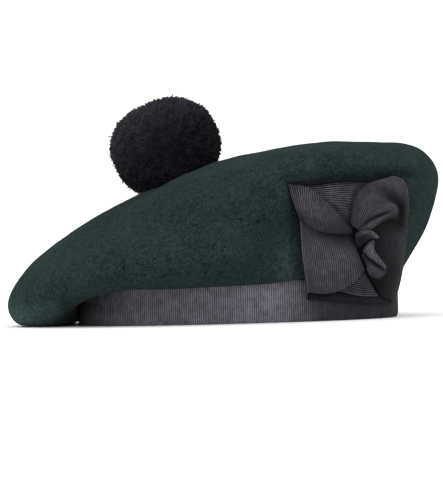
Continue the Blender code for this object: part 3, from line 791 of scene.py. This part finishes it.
@dataclass
class RibbonBand:
    """The ribbon round the head, its lower edge turned in and both edges bound.

    The profile holds insets and heights up its face, and a table the azimuths in degrees at which its
    cords are painted to a given paleness, a painted highlight across the front and painted shade towards
    the ends, from which more painted light goes on above high_from, where the felt shades the band.
    """

    oval: Oval
    weave: Grosgrain = field(default_factory=Grosgrain)
    finish: RibbonFinish = RibbonFinish("band_grosgrain", cord=(0.082, 0.076, 0.092))
    height: float = 0.025
    thickness: float = 0.0013
    steps_per_rib: int = 5
    merge: float = 0.000005
    # Painted light: a highlight across the front, painted shade towards the left end and under the
    # cockade.
    painted_lights: tuple[Range, ...] = (
        (-180.0, 0.8), (-165.0, 0.9), (-150.0, 1.2), (-132.0, 1.9), (-115.0, 2.1), (-98.0, 2.3),
        (-81.0, 2.6), (-72.0, 2.3), (-64.0, 1.4), (-56.0, 0.6), (-40.0, 0.4), (0.0, 0.4),
        (90.0, 1.2), (180.0, 0.8),
    )
    high_from: float = 0.010
    high_painted_light: float = 0.6
    fuzz: float = 0.45
    profile: tuple[Range, ...] = (
        (0.0012, 0.0), (0.0008, 0.0005), (0.00042, 0.0014), (0.00015, 0.0024), (0.0, 0.0035),
        (0.0, 0.0065), (0.0, 0.010), (0.0, 0.0135), (0.0, 0.017), (0.0, 0.0205), (0.0, 0.0232),
        (0.0, 0.0240), (0.00002, 0.0246), (0.0001, 0.025),
    )

    def build(self) -> Piece:
        """Makes the band as one ribbed strip joined end to end."""
        angles, lengths = self.oval.lengths()
        length = lengths[-1]
        ribs = round(length / RIB)
        count = ribs * self.steps_per_rib
        azimuths = np.interp(np.arange(count) * length / count, lengths, angles)
        turns = (np.degrees(azimuths) + 180) % 360 - 180
        painted_lights = np.interp(turns, *zip(*self.painted_lights))

        def face(i: int, j: int) -> Vector:
            """The point of the band's face, on its cords."""
            inset, height = self.profile[i]
            azimuth = azimuths[j % count]
            out = self.weave.height(ribs * j / count, self.height - height) - self.weave.rib_depth
            return self.oval.place(azimuth, self.oval.reach(azimuth, inset) + out, height)

        def painted_light(i: int, j: int) -> float:
            """How pale the cords are painted, as painted light and shade."""
            high = smoothstep(self.high_from, self.height, self.profile[i][1])
            return painted_lights[j % count] * (1 + self.high_painted_light * high)

        ribbon = RibbonGrid(len(self.profile) - 1, count)
        ribbon.shape(face, lambda i, j: face(i, j) - self.oval.centre)
        ribbon.paint("painted_light", painted_light)
        ribbon.paint("fuzz", lambda i, j: self.fuzz)
        ribbon.lay(lambda i, j: (self.profile[i][1], RIB * ribs * j / count))
        bmesh.ops.remove_doubles(ribbon.mesh, verts=ribbon.mesh.verts, dist=self.merge)
        piece = ribbon.finish("ribbon_band", self.finish.material(), self.thickness)
        return dress(piece, "band")


@dataclass
class Seat:
    """The hat's side under the cockade, eased so that ribbon can lie on it.

    It is felt out in even steps of azimuth, in degrees, and of height. Places on it are told
    as shares of the cockade's width and height from the cockade's middle.
    """

    oval: Oval
    azimuth_ends: tuple[int, int] = (-110, 30)
    step_azimuth: int = 4
    step_height: float = 0.004
    margin_steps: int = 3
    band_edge: float = 0.0035
    width: float = 0.080
    height: float = 0.070
    middle_across: float = 0.0690
    bottom: float = 0.0135
    slope_share: float = 0.04
    contour_steps: int = 70

    def __post_init__(self) -> None:
        """Feels out the felt and the band."""
        skins = [skin_of(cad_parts[node]) for node in ("crown", "band")]
        first, last = self.azimuth_ends
        self.azimuths = [math.radians(a) for a in range(first, last + 1, self.step_azimuth)]
        self.low = self.bottom - self.margin_steps * self.step_height
        steps = int(self.height / self.step_height + 2 * self.margin_steps)
        found = [[self.oval.half_width] * len(self.azimuths)]
        for step in range(steps + 1):
            height = self.low + self.step_height * step
            found.append([
                self.probe(skins, azimuth, height, below)
                for azimuth, below in zip(self.azimuths, found[-1])
            ])
        self.reach = self.spread(self.spread(np.array(found[1:]), np.max), np.mean)
        self.contours = {}

    def probe(self, skins: list[BVHTree], azimuth: float, height: float, below: float) -> float:
        """Feels for the outermost skin.

        Args:
            skins: the surfaces of the felt and the band.
            azimuth: the direction from the band's middle.
            height: the height, taken as the band's edge where it is lower.
            below: the reach just below.

        Returns:
            The skin's reach from the middle, or the one below where there is none.
        """
        far = 4 * self.oval.half_width
        start = self.oval.place(azimuth, far, max(height, self.band_edge))
        inward = Vector((-math.cos(azimuth), -math.sin(azimuth), 0.0))
        met = [hit for hit in (skin.ray_cast(start, inward)[3] for skin in skins) if hit is not None]
        return far - min(met) if met else below

    def spread(self, reach: np.ndarray, choose: Callable) -> np.ndarray:
        """Each value replaced by a choice from its own and its eight neighbours' values."""
        tall, wide = reach.shape
        edged = np.pad(reach, 1, mode="edge")
        return choose([edged[i:i + tall, j:j + wide] for i in range(3) for j in range(3)], axis=0)

    def skin_point(self, azimuth: float, height: float) -> Vector:
        """The eased surface's point at an azimuth and height."""
        across = (azimuth - self.azimuths[0]) / (self.azimuths[1] - self.azimuths[0])
        up = (height - self.low) / self.step_height
        i = min(max(int(up), 0), self.reach.shape[0] - 2)
        j = min(max(int(across), 0), self.reach.shape[1] - 2)
        u, v = across - j, up - i
        low, high = self.reach[i:i + 2, j] * (1 - u) + self.reach[i:i + 2, j + 1] * u
        return self.oval.place(azimuth, low * (1 - v) + high * v, height)

    def contour(self, height: float) -> tuple[np.ndarray, np.ndarray]:
        """Azimuths at a height, with their lengths along it from the cockade's middle line."""
        if height not in self.contours:
            angles = np.linspace(self.azimuths[0], self.azimuths[-1], self.contour_steps + 1)
            points = [self.skin_point(angle, height) for angle in angles]
            lengths = lengths_along(points)
            middle = self.oval.centre.x + self.middle_across
            zero = next(
                lengths[i] + (middle - a.x) / (b.x - a.x) * (lengths[i + 1] - lengths[i])
                for i, (a, b) in enumerate(zip(points, points[1:])) if a.x <= middle <= b.x
            )
            self.contours[height] = (angles, np.array(lengths) - zero)
        return self.contours[height]

    def on_seat(self, across: float, up: float) -> Vector:
        """The seat's point at shares of the cockade's size from its middle."""
        height = self.bottom + self.height * (0.5 + up)
        angles, lengths = self.contour(height)
        return self.skin_point(float(np.interp(self.width * across, lengths, angles)), height)

    def raised(self, across: float, up: float, lift: float) -> Vector:
        """A point lifted straight off the seat."""
        step = self.slope_share
        right = self.on_seat(across + step, up) - self.on_seat(across - step, up)
        above = self.on_seat(across, up + step) - self.on_seat(across, up - step)
        return self.on_seat(across, up) + right.cross(above).normalized() * lift


@dataclass(frozen=True)
class Loop:
    """A ribbon loop of the pinwheel: rows of stitches from the hub out to its fold.

    Each stitch is (across, up, lift, painted light) in hundredths: of the cockade's width and height from
    its middle, of its depth for how far the ribbon stands off, and of the paleness painted on the cords
    as light and shade, with a value below 0 where the painted shade of a fold reaches further.
    """

    node: str
    rows: tuple[tuple[Stitch, ...], ...]
    cords: Cords = Cords()


LOOPS = (
    Loop("cockade_top_loop", (
        ((-10, 16.1, 2, 25), (-6.3, 14.1, 4, 30), (-2.7, 15.2, 2, 20)),
        ((-22.6, 26.4, 4, 60), (-10.1, 26.4, 10, 90), (1.5, 27, 4, 60)),
        ((-32.7, 36, 5, 95), (-13.5, 37.4, 14, 100), (8.4, 38.2, 5, 80)),
        ((-37.4, 41.6, 4, 80), (-12.1, 44.7, 12, 90), (15.5, 44.3, 4, 60)),
        ((-38.6, 43.2, 3, 35), (-11.7, 46.5, 10, 40), (17.7, 45.7, 3, 30)),
    )),
    Loop("cockade_left_upper_loop", (
        ((-8.1, 5.4, 36, 20), (-5.6, 7.9, 30, 20), (-5.6, 10.8, 23, 20)),
        ((-23.9, 7.2, 37, 40), (-20.1, 16.8, 48, 70), (-14.2, 23, 36, 60)),
        ((-38.4, 12.2, 36, 60), (-35.1, 26.7, 44, 100), (-28, 36.2, 34, 100)),
        ((-48.7, 17.6, 35, 40), (-43.7, 31.4, 36, 110), (-38.8, 44.1, 30, 80)),
        ((-51.6, 19.5, 31, 20), (-51.6, 32.8, 24, 70), (-50.7, 45.6, 20, 40)),
    ), Cords(fuzz=0.2, lean=-0.5, bow=1.0)),
    Loop("cockade_top_right_loop", (
        ((-6.5, 14.1, 36, 40), (-5.6, 13.7, 40, 50), (-4.6, 12.9, 44, 60), (-3.5, 12, 46, 60),
         (-2.4, 11.1, 46, 50), (-1.2, 9.4, 39, 40), (-0.1, 8, 40, 80), (1.3, 6.1, 36, 90)),
        ((-5.1, 28.3, 38, 50), (-2.8, 27.7, 52, 70), (0, 25.7, 60, 90), (3, 23.9, 64, 90),
         (5.4, 21.8, 62, 70), (8.2, 18, 36, 20), (7.9, 14.2, 50, 100), (8.3, 8.8, 42, 90)),
        ((-3.2, 37, 38, 50), (1.2, 37, 56, 75), (6.4, 34.4, 66, 95), (12, 31.4, 72, 100),
         (16.6, 28.7, 72, 80), (20.3, 23.3, 36, 15), (19.7, 21.3, 50, 100), (20.3, 15.5, 28, 30)),
        ((0.1, 41.9, 36, 60), (7, 42.3, 52, 75), (13.9, 39.6, 64, 80), (21.3, 35.4, 72, 75),
         (27.2, 32.7, 74, 90), (29.7, 28.9, 66, 80), (29.6, 24.7, 56, 50), (28.4, 18.7, 30, 10)),
        ((3.9, 44.7, 34, 60), (12.2, 45.9, 46, 70), (21.4, 43.2, 46, 30), (29.7, 36.5, 26, 0),
         (36.4, 31.7, 20, 0), (39, 27, 20, 0), (38.2, 21.8, 22, 0), (35, 16.5, 25, 0)),
        ((7.4, 46.7, 30, 70), (16.8, 49.1, 40, 80), (26.2, 48.3, 44, 95), (34.5, 43.7, 42, 80),
         (39.6, 37.6, 40, 40), (42.3, 30.4, 38, 10), (43.1, 22.4, 36, 5), (42, 13, 32, 5)),
        ((11.2, 47.3, 22, 70), (21.2, 50, 26, 70), (31.3, 51.4, 26, 75), (40.7, 48.3, 26, 75),
         (45.5, 41.9, 24, 65), (47.8, 32.7, 22, 50), (48.8, 22.5, 22, 35), (48.2, 10.7, 22, 30)),
    ), Cords(fuzz=0.2, lean=0.3)),
    Loop("cockade_left_lower_loop", (
        ((-4.4, 2.8, 5, -30), (0, -11.9, 16, 50), (5.2, -24.1, 23, 50)),
        ((-9.1, 8.1, 5, -30), (-5.4, -13.7, 34, 85), (-1.8, -30.1, 32, 80)),
        ((-18, 10.2, 5, -30), (-13.1, -15, 40, 100), (-12.9, -38.3, 30, 95)),
        ((-29.6, 13.2, 5, 0), (-25.4, -15.5, 32, 110), (-25.1, -43.3, 26, 95)),
        ((-40.7, 16.7, 5, 40), (-35.1, -14.8, 25, 110), (-33.1, -42.7, 22, 90)),
        ((-49.6, 18.8, 4, 50), (-45.6, -9.4, 15, 80), (-40.9, -41, 12, 70)),
    ), Cords(fuzz=0.4)),
    Loop("cockade_bottom_loop", (
        ((3.6, -24.2, 0, 30), (5.6, -25.7, 0, 35), (7.3, -27.3, 0, 30)),
        ((-3.4, -31.1, 1, 60), (4.1, -33, 4, 65), (12.4, -35.8, 2, 55)),
        ((-14.8, -42.1, 1, 60), (2.1, -48.4, 8, 65), (20.4, -49.4, 3, 55)),
    )),
    Loop("cockade_lower_right_fold", (
        ((3.8, -4.7, 52, 60), (2.7, -6.7, 50, 80), (2.2, -8.3, 44, 60), (2.2, -9.5, 36, 0),
         (2.2, -11.1, 32, 20), (2, -13, 30, 20)),
        ((7.5, -0.4, 60, 80), (4.9, -6, 68, 120), (4.2, -10.7, 58, 100), (5.4, -12.7, 34, 0),
         (5, -15.5, 31, 40), (4.7, -18.3, 30, 30)),
        ((10.7, 0.1, 62, 90), (7.6, -6.2, 74, 130), (6.7, -13, 68, 110), (8.8, -15.7, 34, 0),
         (6.9, -18.5, 37, 60), (6.1, -21.8, 31, 50)),
        ((10.7, -7, 60, 90), (9.7, -11.5, 76, 130), (10.4, -15.8, 68, 110), (13.1, -18.6, 35, 0),
         (9.1, -21.2, 44, 75), (6.6, -24.3, 32, 60)),
        ((15.4, -13.3, 58, 90), (13.9, -15.9, 74, 130), (14.5, -18.4, 66, 110), (17.3, -21, 34, 0),
         (12.4, -23.7, 46, 80), (9.1, -27.1, 32, 65)),
        ((20.7, -18.7, 54, 90), (19.3, -20.1, 64, 110), (19.7, -21.5, 54, 90), (21.3, -23, 34, 50),
         (16.9, -25.9, 46, 75), (13.5, -29.2, 33, 50)),
        ((24.8, -22, 38, 70), (24.1, -23.2, 42, 70), (23.7, -24.3, 42, 70), (23.6, -25.4, 39, 70),
         (21.4, -27.9, 40, 60), (18.4, -30.8, 35, 40)),
    )),
    # This loop's cords get almost no painted light: it is painted as lying in shade.
    Loop("cockade_right_loop", (
        ((13.7, 15.8, 0, 0), (12.5, 0.9, 1, 0), (9.7, -13.3, 2, 0), (9.5, -27.2, 3, 0)),
        ((22.2, 16.5, 0, 0), (23.1, -2.7, 2, 10), (19.9, -20.8, 1, 0), (17, -37.5, 1, 0)),
        ((32.2, 17.3, 0, 0), (34.8, -5.4, 4, 35), (32.3, -26.3, 3, 0), (25, -50.9, 2, 5)),
        ((42, 15.3, 1, 0), (42.7, -6.9, 14, 60), (43.1, -29.2, 12, 10), (35.1, -53.4, 5, 20)),
        ((50.2, 12.5, 1, 40), (50.3, -7.9, 10, 60), (53.7, -30.6, 8, 50), (46.2, -54.6, 3, 50)),
    ), Cords(fuzz=0.3)),
    Loop("cockade_knot", (
        ((-3.4, 6.4, 46, 50), (-3.8, 4.3, 49, 40), (-3.9, 1.2, 47, 20), (-3.5, -2.3, 43, 10),
         (-2.5, -5.9, 39, 10)),
        ((0.4, 9.2, 60, 90), (-0.2, 7.5, 68, 70), (-0.2, 4.5, 64, 20), (0.3, 0.6, 53, 10),
         (0.8, -4.1, 40, 10)),
        ((4.7, 9.9, 68, 110), (3.9, 8.1, 78, 90), (3.5, 5.2, 73, 30), (3.5, 1.8, 60, 10),
         (3.8, -2.1, 43, 10)),
        ((9.2, 9, 72, 110), (7.7, 7.3, 84, 100), (6.7, 5.2, 79, 40), (6.2, 2.8, 66, 20),
         (6, -0.1, 50, 10)),
        ((14.6, 3.9, 68, 110), (12.5, 3, 78, 110), (10.9, 2.8, 77, 70), (9.4, 2.8, 69, 40),
         (8.2, 1.9, 57, 20)),
    ), Cords(RibRun.ALONG_COLUMNS, fuzz=0.2)),
)

GROUND_ROWS = (
    ((-40, -50.5), (-11, -53.5), (16, -56), (46.4, -57)),
    ((-41.5, -25.1), (-12, -26), (20, -26.8), (51.2, -28.6)),
    ((-47.2, 1.7), (-11, 0), (20.6, -1), (52.1, -3)),
    ((-52.2, 25), (-11, 25.6), (20.5, 24.9), (51.8, 24.2)),
    ((-51.8, 48.8), (-12.6, 49.8), (21.3, 48.4), (50, 45)),
)


@dataclass
class Cockade:
    """The pinwheel of grosgrain on its ground, with the knot at its hub.

    The hem is the raised strip along the ground's right side, and the ground is painted paler along its
    lower edge, in a strip whose ends are shares of the cockade's height.
    """

    seat: Seat
    weave: Grosgrain = field(default_factory=Grosgrain)
    finish: RibbonFinish = RibbonFinish("cockade_grosgrain")
    # The ground's ribbon is painted far darker than the loops' ribbon, as the shade beneath and around
    # them.
    ground_finish_in_painted_shade: RibbonFinish = RibbonFinish(
        "ground_ribbon", valley=(0.0014, 0.0012, 0.0020), cord=(0.0045, 0.0040, 0.0056),
        gloss=Gloss(0.62, 0.05, 0.02, 0.45, (0.9, 0.9, 1.0)),
    )
    depth: float = 0.0115
    gap: float = 0.0003
    layer_gap: float = 0.0010
    ribbon: float = 0.0010
    coarse_steps: int = 24
    least_steps: int = 12
    knot_steps: int = 40
    step_across: float = 0.0009
    step_leaning: float = 0.00045
    fold_radius: float = 0.00055
    fold_return: float = 0.0022
    fold_steps: int = 6
    least_sheet: float = 0.011
    least_cover: float = 0.31
    area_margin: float = 0.999
    ground: float = 0.0012
    ground_thickness: float = 0.0009
    ground_steps: tuple[int, int] = (40, 420)
    hem_height: float = 0.0005
    hem_width: float = 0.055
    hem_slope: float = 0.006
    paler_lower_strip: Range = (-0.52, -0.42)
    lower_strip_paler_by: float = 3.5

    def build(self) -> None:
        """Makes the ground, the loops, the fold and the knot."""
        self.build_ground(self.ground_finish_in_painted_shade.material())
        material = self.finish.material()
        for loop in LOOPS:
            self.build_loop(loop, material)

    def stitch_point(self, stitch: Stitch) -> Vector:
        """The ribbon's outer face at a stitch."""
        across, up, lift, _ = [value * HUNDREDTH for value in stitch]
        lowest = self.gap + self.ground + self.layer_gap + self.ribbon
        return self.seat.raised(across, up, lowest + (self.depth - lowest) * lift - self.weave.rib_depth)

    def build_loop(self, loop: Loop, material: Material) -> None:
        """Makes one loop, its outer end folded under."""
        rows = [[self.stitch_point(stitch) for stitch in row] for row in loop.rows]
        # Each stitch's painted light and shade, as vectors to smooth along with the points.
        painted_lights = [[Vector((painted_light * HUNDREDTH, 0, 0)) for _, _, _, painted_light in row] for row in loop.rows]
        width, length = size_of(grid_through(rows, self.coarse_steps, self.coarse_steps))
        if loop.cords.run is RibRun.ALONG_COLUMNS:
            steps = self.knot_steps, int(width / RIB * self.weave.steps_per_rib)
        else:
            step = self.step_leaning if loop.cords.lean else self.step_across
            steps = int(length / RIB * self.weave.steps_per_rib), max(int(width / step), self.least_steps)
        grid, painted_light = grid_through(rows, *steps), grid_through(painted_lights, *steps)
        folded = self.fold(grid)
        grid += folded
        painted_light += [painted_light[-1]] * len(folded)
        piece = self.weave.sheet(
            loop.node + "_ribbon", grid, loop.cords, material, painted_light, self.weave.thickness
        )
        if width > self.least_sheet:
            self.declare(piece, grid, Hold.FOLDED)
        dress(piece, loop.node)

    def fold(self, grid: Grid) -> Grid:
        """Rows that carry a ribbon's outer end round and back under itself."""
        normals = grid_normals(grid)[-1]
        ahead = [(a - b).normalized() for a, b in zip(grid[-1], grid[-3])]
        rows = []
        for step in range(1, 2 * self.fold_steps + 1):
            turn = math.pi * min(step / self.fold_steps, 1.0)
            back = self.fold_return * max(step / self.fold_steps - 1.0, 0.0)
            out = self.fold_radius * math.sin(turn) - back
            under = self.fold_radius * (1 - math.cos(turn))
            rows.append([p + a * out - n * under for p, a, n in zip(grid[-1], ahead, normals)])
        return rows

    def declare(self, piece: Piece, grid: Grid, hold: Hold) -> None:
        """Works out the area, size and cover of a piece's ribbon, and keeps none of them.

        Args:
            piece: the ribbon.
            grid: the points of its face.
            hold: how it is held; not used.
        """
        bpy.context.view_layer.update()
        area = sum(face.area for face in piece.data.polygons)
        width, length = size_of(grid)
        cover = max(min(area / (width * length), 1.0), self.least_cover)

    def build_ground(self, material: Material) -> None:
        """Makes the ribbon behind the pinwheel, with a hem along its right side."""
        rows = [[Vector((across, up, 0)) * HUNDREDTH for across, up in row] for row in GROUND_ROWS]
        shares = grid_through(rows, *self.ground_steps)
        # Painted paler along the ground's lower edge.
        painted_light = [[Vector((1 + self.lower_strip_paler_by * fade(*self.paler_lower_strip, p.y), 0.0, 0.0)) for p in row]
                for row in shares]
        face = self.gap + self.ground - self.weave.rib_depth
        grid = []
        for row in shares:
            lengths = lengths_along(row)
            hem_start = lengths[-1] - self.hem_width
            lifts = [face + self.hem_height * smoothstep(0.0, self.hem_slope, length - hem_start)
                     for length in lengths]
            grid.append([self.seat.raised(p.x, p.y, lift) for p, lift in zip(row, lifts)])
        piece = self.weave.sheet("cockade_ground_ribbon", grid, Cords(RibRun.ALONG_COLUMNS), material,
                                 painted_light, self.ground_thickness)
        self.declare(piece, grid, Hold.LAID)
        dress(piece, "cockade_ground")


@dataclass
class Toorie:
    """The wool ball: a core covered with thousands of cut yarn ends.

    Clumps are soft hills of the pile, with finer ones among them. Painted light makes the yarn paler
    towards the top left, where the light falls: one field gives how much, another the way. Bulges hold
    the angles in degrees, from the ball's own +X up, at which the pile stands out of round by a given
    height.
    """

    finish: YarnFinish = YarnFinish()
    centre: Vector = field(default_factory=lambda: Vector((-0.0324, 0.001, 0.1061)))
    radius: float = 0.0333
    half_height: float = 0.0300
    slope: float = 0.36
    core_inset: float = 0.0042
    core_fineness: int = 5
    seat_gap: float = 0.0002
    sunk: float = 0.003
    tufts: int = 32000
    pieces: int = 2
    seed: int = 11
    sides: int = 3
    tuft_radius: float = 0.00042
    tuft_radii: Range = (0.7, 1.3)
    tuft_length: float = 0.0045
    tuft_root: float = 0.5
    tuft_point: float = 0.10
    end_inset: float = 0.0009
    scatter: float = 0.012
    splay: float = 0.20
    uneven: float = 0.0007
    strays: float = 0.03
    stray_length: float = 0.0022
    stray_radius: float = 0.5
    clumps: float = 6.5
    finer_clumps: float = 2.3
    finer_share: float = 0.4
    clump_height: float = 0.0011
    shade: float = 0.08
    shade_spread: float = 0.75
    shade_power: int = 3
    least_shade: float = 0.04
    # Painted light towards the top left.
    painted_top_light: float = 0.95
    painted_light_way: Vector = field(default_factory=lambda: Vector((-0.55, -0.15, 0.82)))
    bulges: tuple[Range, ...] = (
        (0.0, -0.0003), (20.0, -0.0007), (35.0, -0.0004), (47.0, 0.0008), (60.0, 0.0), (75.0, 0.0006),
        (95.0, 0.0), (120.0, -0.0004), (135.0, 0.0009), (150.0, 0.0022), (180.0, 0.0017), (200.0, 0.0),
        (225.0, 0.0006), (300.0, 0.0),
    )

    def build(self, felt: Piece) -> None:
        """Makes the core and the tufts, on the finished felt."""
        self.skin = skin_of(felt)
        self.tilt = Matrix.Rotation(-math.atan(self.slope), 4, "Y")
        material = self.finish.material()
        core = bmesh.new()
        bmesh.ops.create_icosphere(core, subdivisions=self.core_fineness, radius=1.0)
        size = [half - self.core_inset for half in (self.radius, self.radius, self.half_height)]
        bmesh.ops.scale(core, verts=core.verts, vec=size)
        bmesh.ops.transform(core, verts=core.verts, matrix=Matrix.Translation(self.centre) @ self.tilt)
        for layer in ("tip", "shade"):
            core.verts.layers.float.new(layer)
        for vertex in core.verts:
            vertex.co = self.clear(vertex.co)
        dress(new_piece("toorie_core", core, material), "toorie")
        self.build_tufts(material)

    def seat_under(self, place: Vector) -> float:
        """The felt's height under or over a place, or far below where there is no felt."""
        seat = self.skin.ray_cast(Vector((place.x, place.y, 1.0)), Vector((0, 0, -1)))[0]
        return -1.0 if seat is None else seat.z

    def clear(self, place: Vector) -> Vector:
        """A place moved up, where it needs to be, to lie just above the felt."""
        return Vector((place.x, place.y, max(place.z, self.seat_under(place) + self.seat_gap)))

    def bulge(self, way: Vector) -> float:
        """How far the ball stands out of round towards a way, most of it in the photograph's plane."""
        angle = math.degrees(math.atan2(way.z, way.x) + math.atan(self.slope))
        return float(np.interp(angle, *zip(*self.bulges), period=360)) * way.xz.length_squared

    def one_tuft(self) -> tuple[np.ndarray, list[list[int]]]:
        """A cut yarn end along +Z, from 0 to 1, with a low point on top: its points and faces."""
        mesh = bmesh.new()
        bmesh.ops.create_cone(mesh, cap_ends=True, segments=self.sides, radius1=self.tuft_root,
                              radius2=1.0, depth=1.0)
        bmesh.ops.translate(mesh, verts=mesh.verts, vec=(0, 0, 0.5))
        ends = sorted(mesh.faces, key=lambda face: face.calc_center_median().z)
        bmesh.ops.poke(mesh, faces=[ends[-1]], offset=self.tuft_point)
        bmesh.ops.delete(mesh, geom=[ends[0]], context="FACES_ONLY")
        mesh.verts.index_update()
        points = np.array([vertex.co[:] for vertex in mesh.verts])
        faces = [[vertex.index for vertex in face.verts] for face in mesh.faces]
        mesh.free()
        return points, faces

    def build_tufts(self, material: Material) -> None:
        """Stands the tufts on the core, each leaning a little its own way."""
        draw = np.random.default_rng(self.seed)
        points, faces = self.one_tuft()
        golden = math.pi * (3 - math.sqrt(5))
        stood = []
        for number in range(self.tufts):
            height = 1 - 2 * (number + 0.5) / self.tufts
            ring = math.sqrt(1 - height * height)
            way = Vector((ring * math.cos(number * golden), ring * math.sin(number * golden), height))
            way = (way + Vector(draw.normal(0.0, self.scatter, 3))).normalized()
            lean = self.tilt @ (way + Vector(draw.normal(0.0, self.splay, 3))).normalized()
            longer = draw.normal(0.0, self.uneven)
            stray = draw.random() < self.strays
            longer += stray * draw.random() * self.stray_length
            clump = noise.noise(way * self.clumps) * (1 - self.finer_share)
            clump += noise.noise(way * self.clumps * self.finer_clumps) * self.finer_share
            longer += clump * self.clump_height + self.bulge(way)
            reach = Vector((way.x * self.radius, way.y * self.radius, way.z * self.half_height))
            end = self.tilt @ (reach - way * self.end_inset) + self.centre + lean * longer
            size = self.tuft_radius * draw.uniform(*self.tuft_radii) * (self.stray_radius if stray else 1)
            # Painted light: tufts facing the top left are painted paler, as if lit from there.
            painted_top_light = max((self.tilt @ way).dot(self.painted_light_way), 0.0) * self.painted_top_light
            shade = self.shade + (self.shade_spread + painted_top_light) * draw.random() ** self.shade_power
            shade += clump + painted_top_light
            twist = draw.random() * math.pi
            if end.z < self.seat_under(end) - self.sunk:
                continue
            turned = lean.to_track_quat("Z", "Y").to_matrix() @ Matrix.Rotation(twist, 3, "Z")
            shape = points * (size, size, self.tuft_length) @ np.array(turned).T
            stood.append((shape + np.array(end - lean * self.tuft_length), max(shade, self.least_shade)))
        for number in range(self.pieces):
            self.join(f"toorie_tufts_{number + 1}", stood[number::self.pieces], points, faces, material)

    def join(self, name: str, stood: list, points: np.ndarray, faces: list,
             material: Material) -> None:
        """Makes one piece of many tufts, clear of the felt.

        Args:
            name: the piece's name.
            stood: each tuft's points and its shade.
            points: one tuft's own points, for how near its tip each is.
            faces: one tuft's faces.
            material: the yarn's finish.
        """
        data = bpy.data.meshes.new(name)
        count = len(points)
        every = [[index + count * k for index in face] for k in range(len(stood)) for face in faces]
        data.from_pydata(np.concatenate([shape for shape, _ in stood]).tolist(), [], every)
        tips = np.tile(np.clip(points[:, 2], 0.0, 1.0), len(stood))
        shades = np.repeat([shade for _, shade in stood], count)
        for layer, values in (("tip", tips), ("shade", shades)):
            data.attributes.new(layer, "FLOAT", "POINT").data.foreach_set("value", values)
        for vertex in data.vertices:
            if vertex.co.z < self.centre.z:
                vertex.co = self.clear(vertex.co)
        dress(add_piece(name, data, material), "toorie")


@dataclass
class Studio:
    """A pale floor, soft light from above and in front, and the photograph's camera."""

    floor_radius: float = 30.0
    floor_segments: int = 96
    sky: Colour = (1.0, 1.0, 1.0)
    sky_strength: float = 1.25
    sun_strength: float = 1.2
    sun_angle: float = 60.0
    sun_turn: Turn = (55.0, 0.0, -9.0)
    fill_strength: float = 0.8
    fill_angle: float = 50.0
    fill_turn: Turn = (84.0, 0.0, -9.0)
    camera_place: Vector = field(default_factory=lambda: Vector((-0.001, -2.399, 0.060)))
    camera_aim: Vector = field(default_factory=lambda: Vector((-0.001, 0.001, 0.0422)))
    camera_roll: float = -1.55
    lens: float = 282.2
    sensor: float = 36.0
    far: float = 200.0

    def build(self) -> None:
        """Makes the floor, the lights and the camera."""
        mesh = bmesh.new()
        bmesh.ops.create_circle(mesh, cap_ends=True, segments=self.floor_segments,
                                radius=self.floor_radius)
        new_piece("pale_floor", mesh, FloorFinish().material())
        world = bpy.data.worlds.new("soft studio")
        world.use_nodes = True
        sky = world.node_tree.nodes["Background"].inputs
        sky["Color"].default_value = (*self.sky, 1.0)
        sky["Strength"].default_value = self.sky_strength
        bpy.context.scene.world = world
        self.light("soft key", self.sun_strength, self.sun_angle, self.sun_turn)
        self.light("low fill", self.fill_strength, self.fill_angle, self.fill_turn)
        camera = bpy.data.cameras.new("photograph's view")
        camera.lens, camera.sensor_width, camera.clip_end = self.lens, self.sensor, self.far
        view = bpy.data.objects.new("photograph's view", camera)
        look = (self.camera_aim - self.camera_place).to_track_quat("-Z", "Y").to_matrix().to_4x4()
        roll = Matrix.Rotation(math.radians(self.camera_roll), 4, "Z")
        view.matrix_world = Matrix.Translation(self.camera_place) @ look @ roll
        bpy.context.scene.collection.objects.link(view)
        bpy.context.scene.camera = view
        bpy.context.scene.view_settings.view_transform = "Standard"
        LOG.info("studio: floor, sky, lights and camera")

    def light(self, name: str, strength: float, angle: float, turn: Turn) -> None:
        """Adds a wide, far light of a strength, its width and turn in degrees."""
        lamp = bpy.data.lights.new(name, "SUN")
        lamp.energy = strength
        lamp.angle = math.radians(angle)
        light = bpy.data.objects.new(name, lamp)
        light.rotation_euler = [math.radians(part) for part in turn]
        bpy.context.scene.collection.objects.link(light)


def main() -> None:
    """Builds the studio and the hat's pieces in order."""
    logging.basicConfig(level=logging.INFO, format="%(name)s: %(message)s")
    Studio().build()
    oval = Oval()
    felt = FeltCrown().build()
    RibbonBand(oval).build()
    Toorie().build(felt)
    Cockade(Seat(oval)).build()


if __name__ == "__main__":
    main()
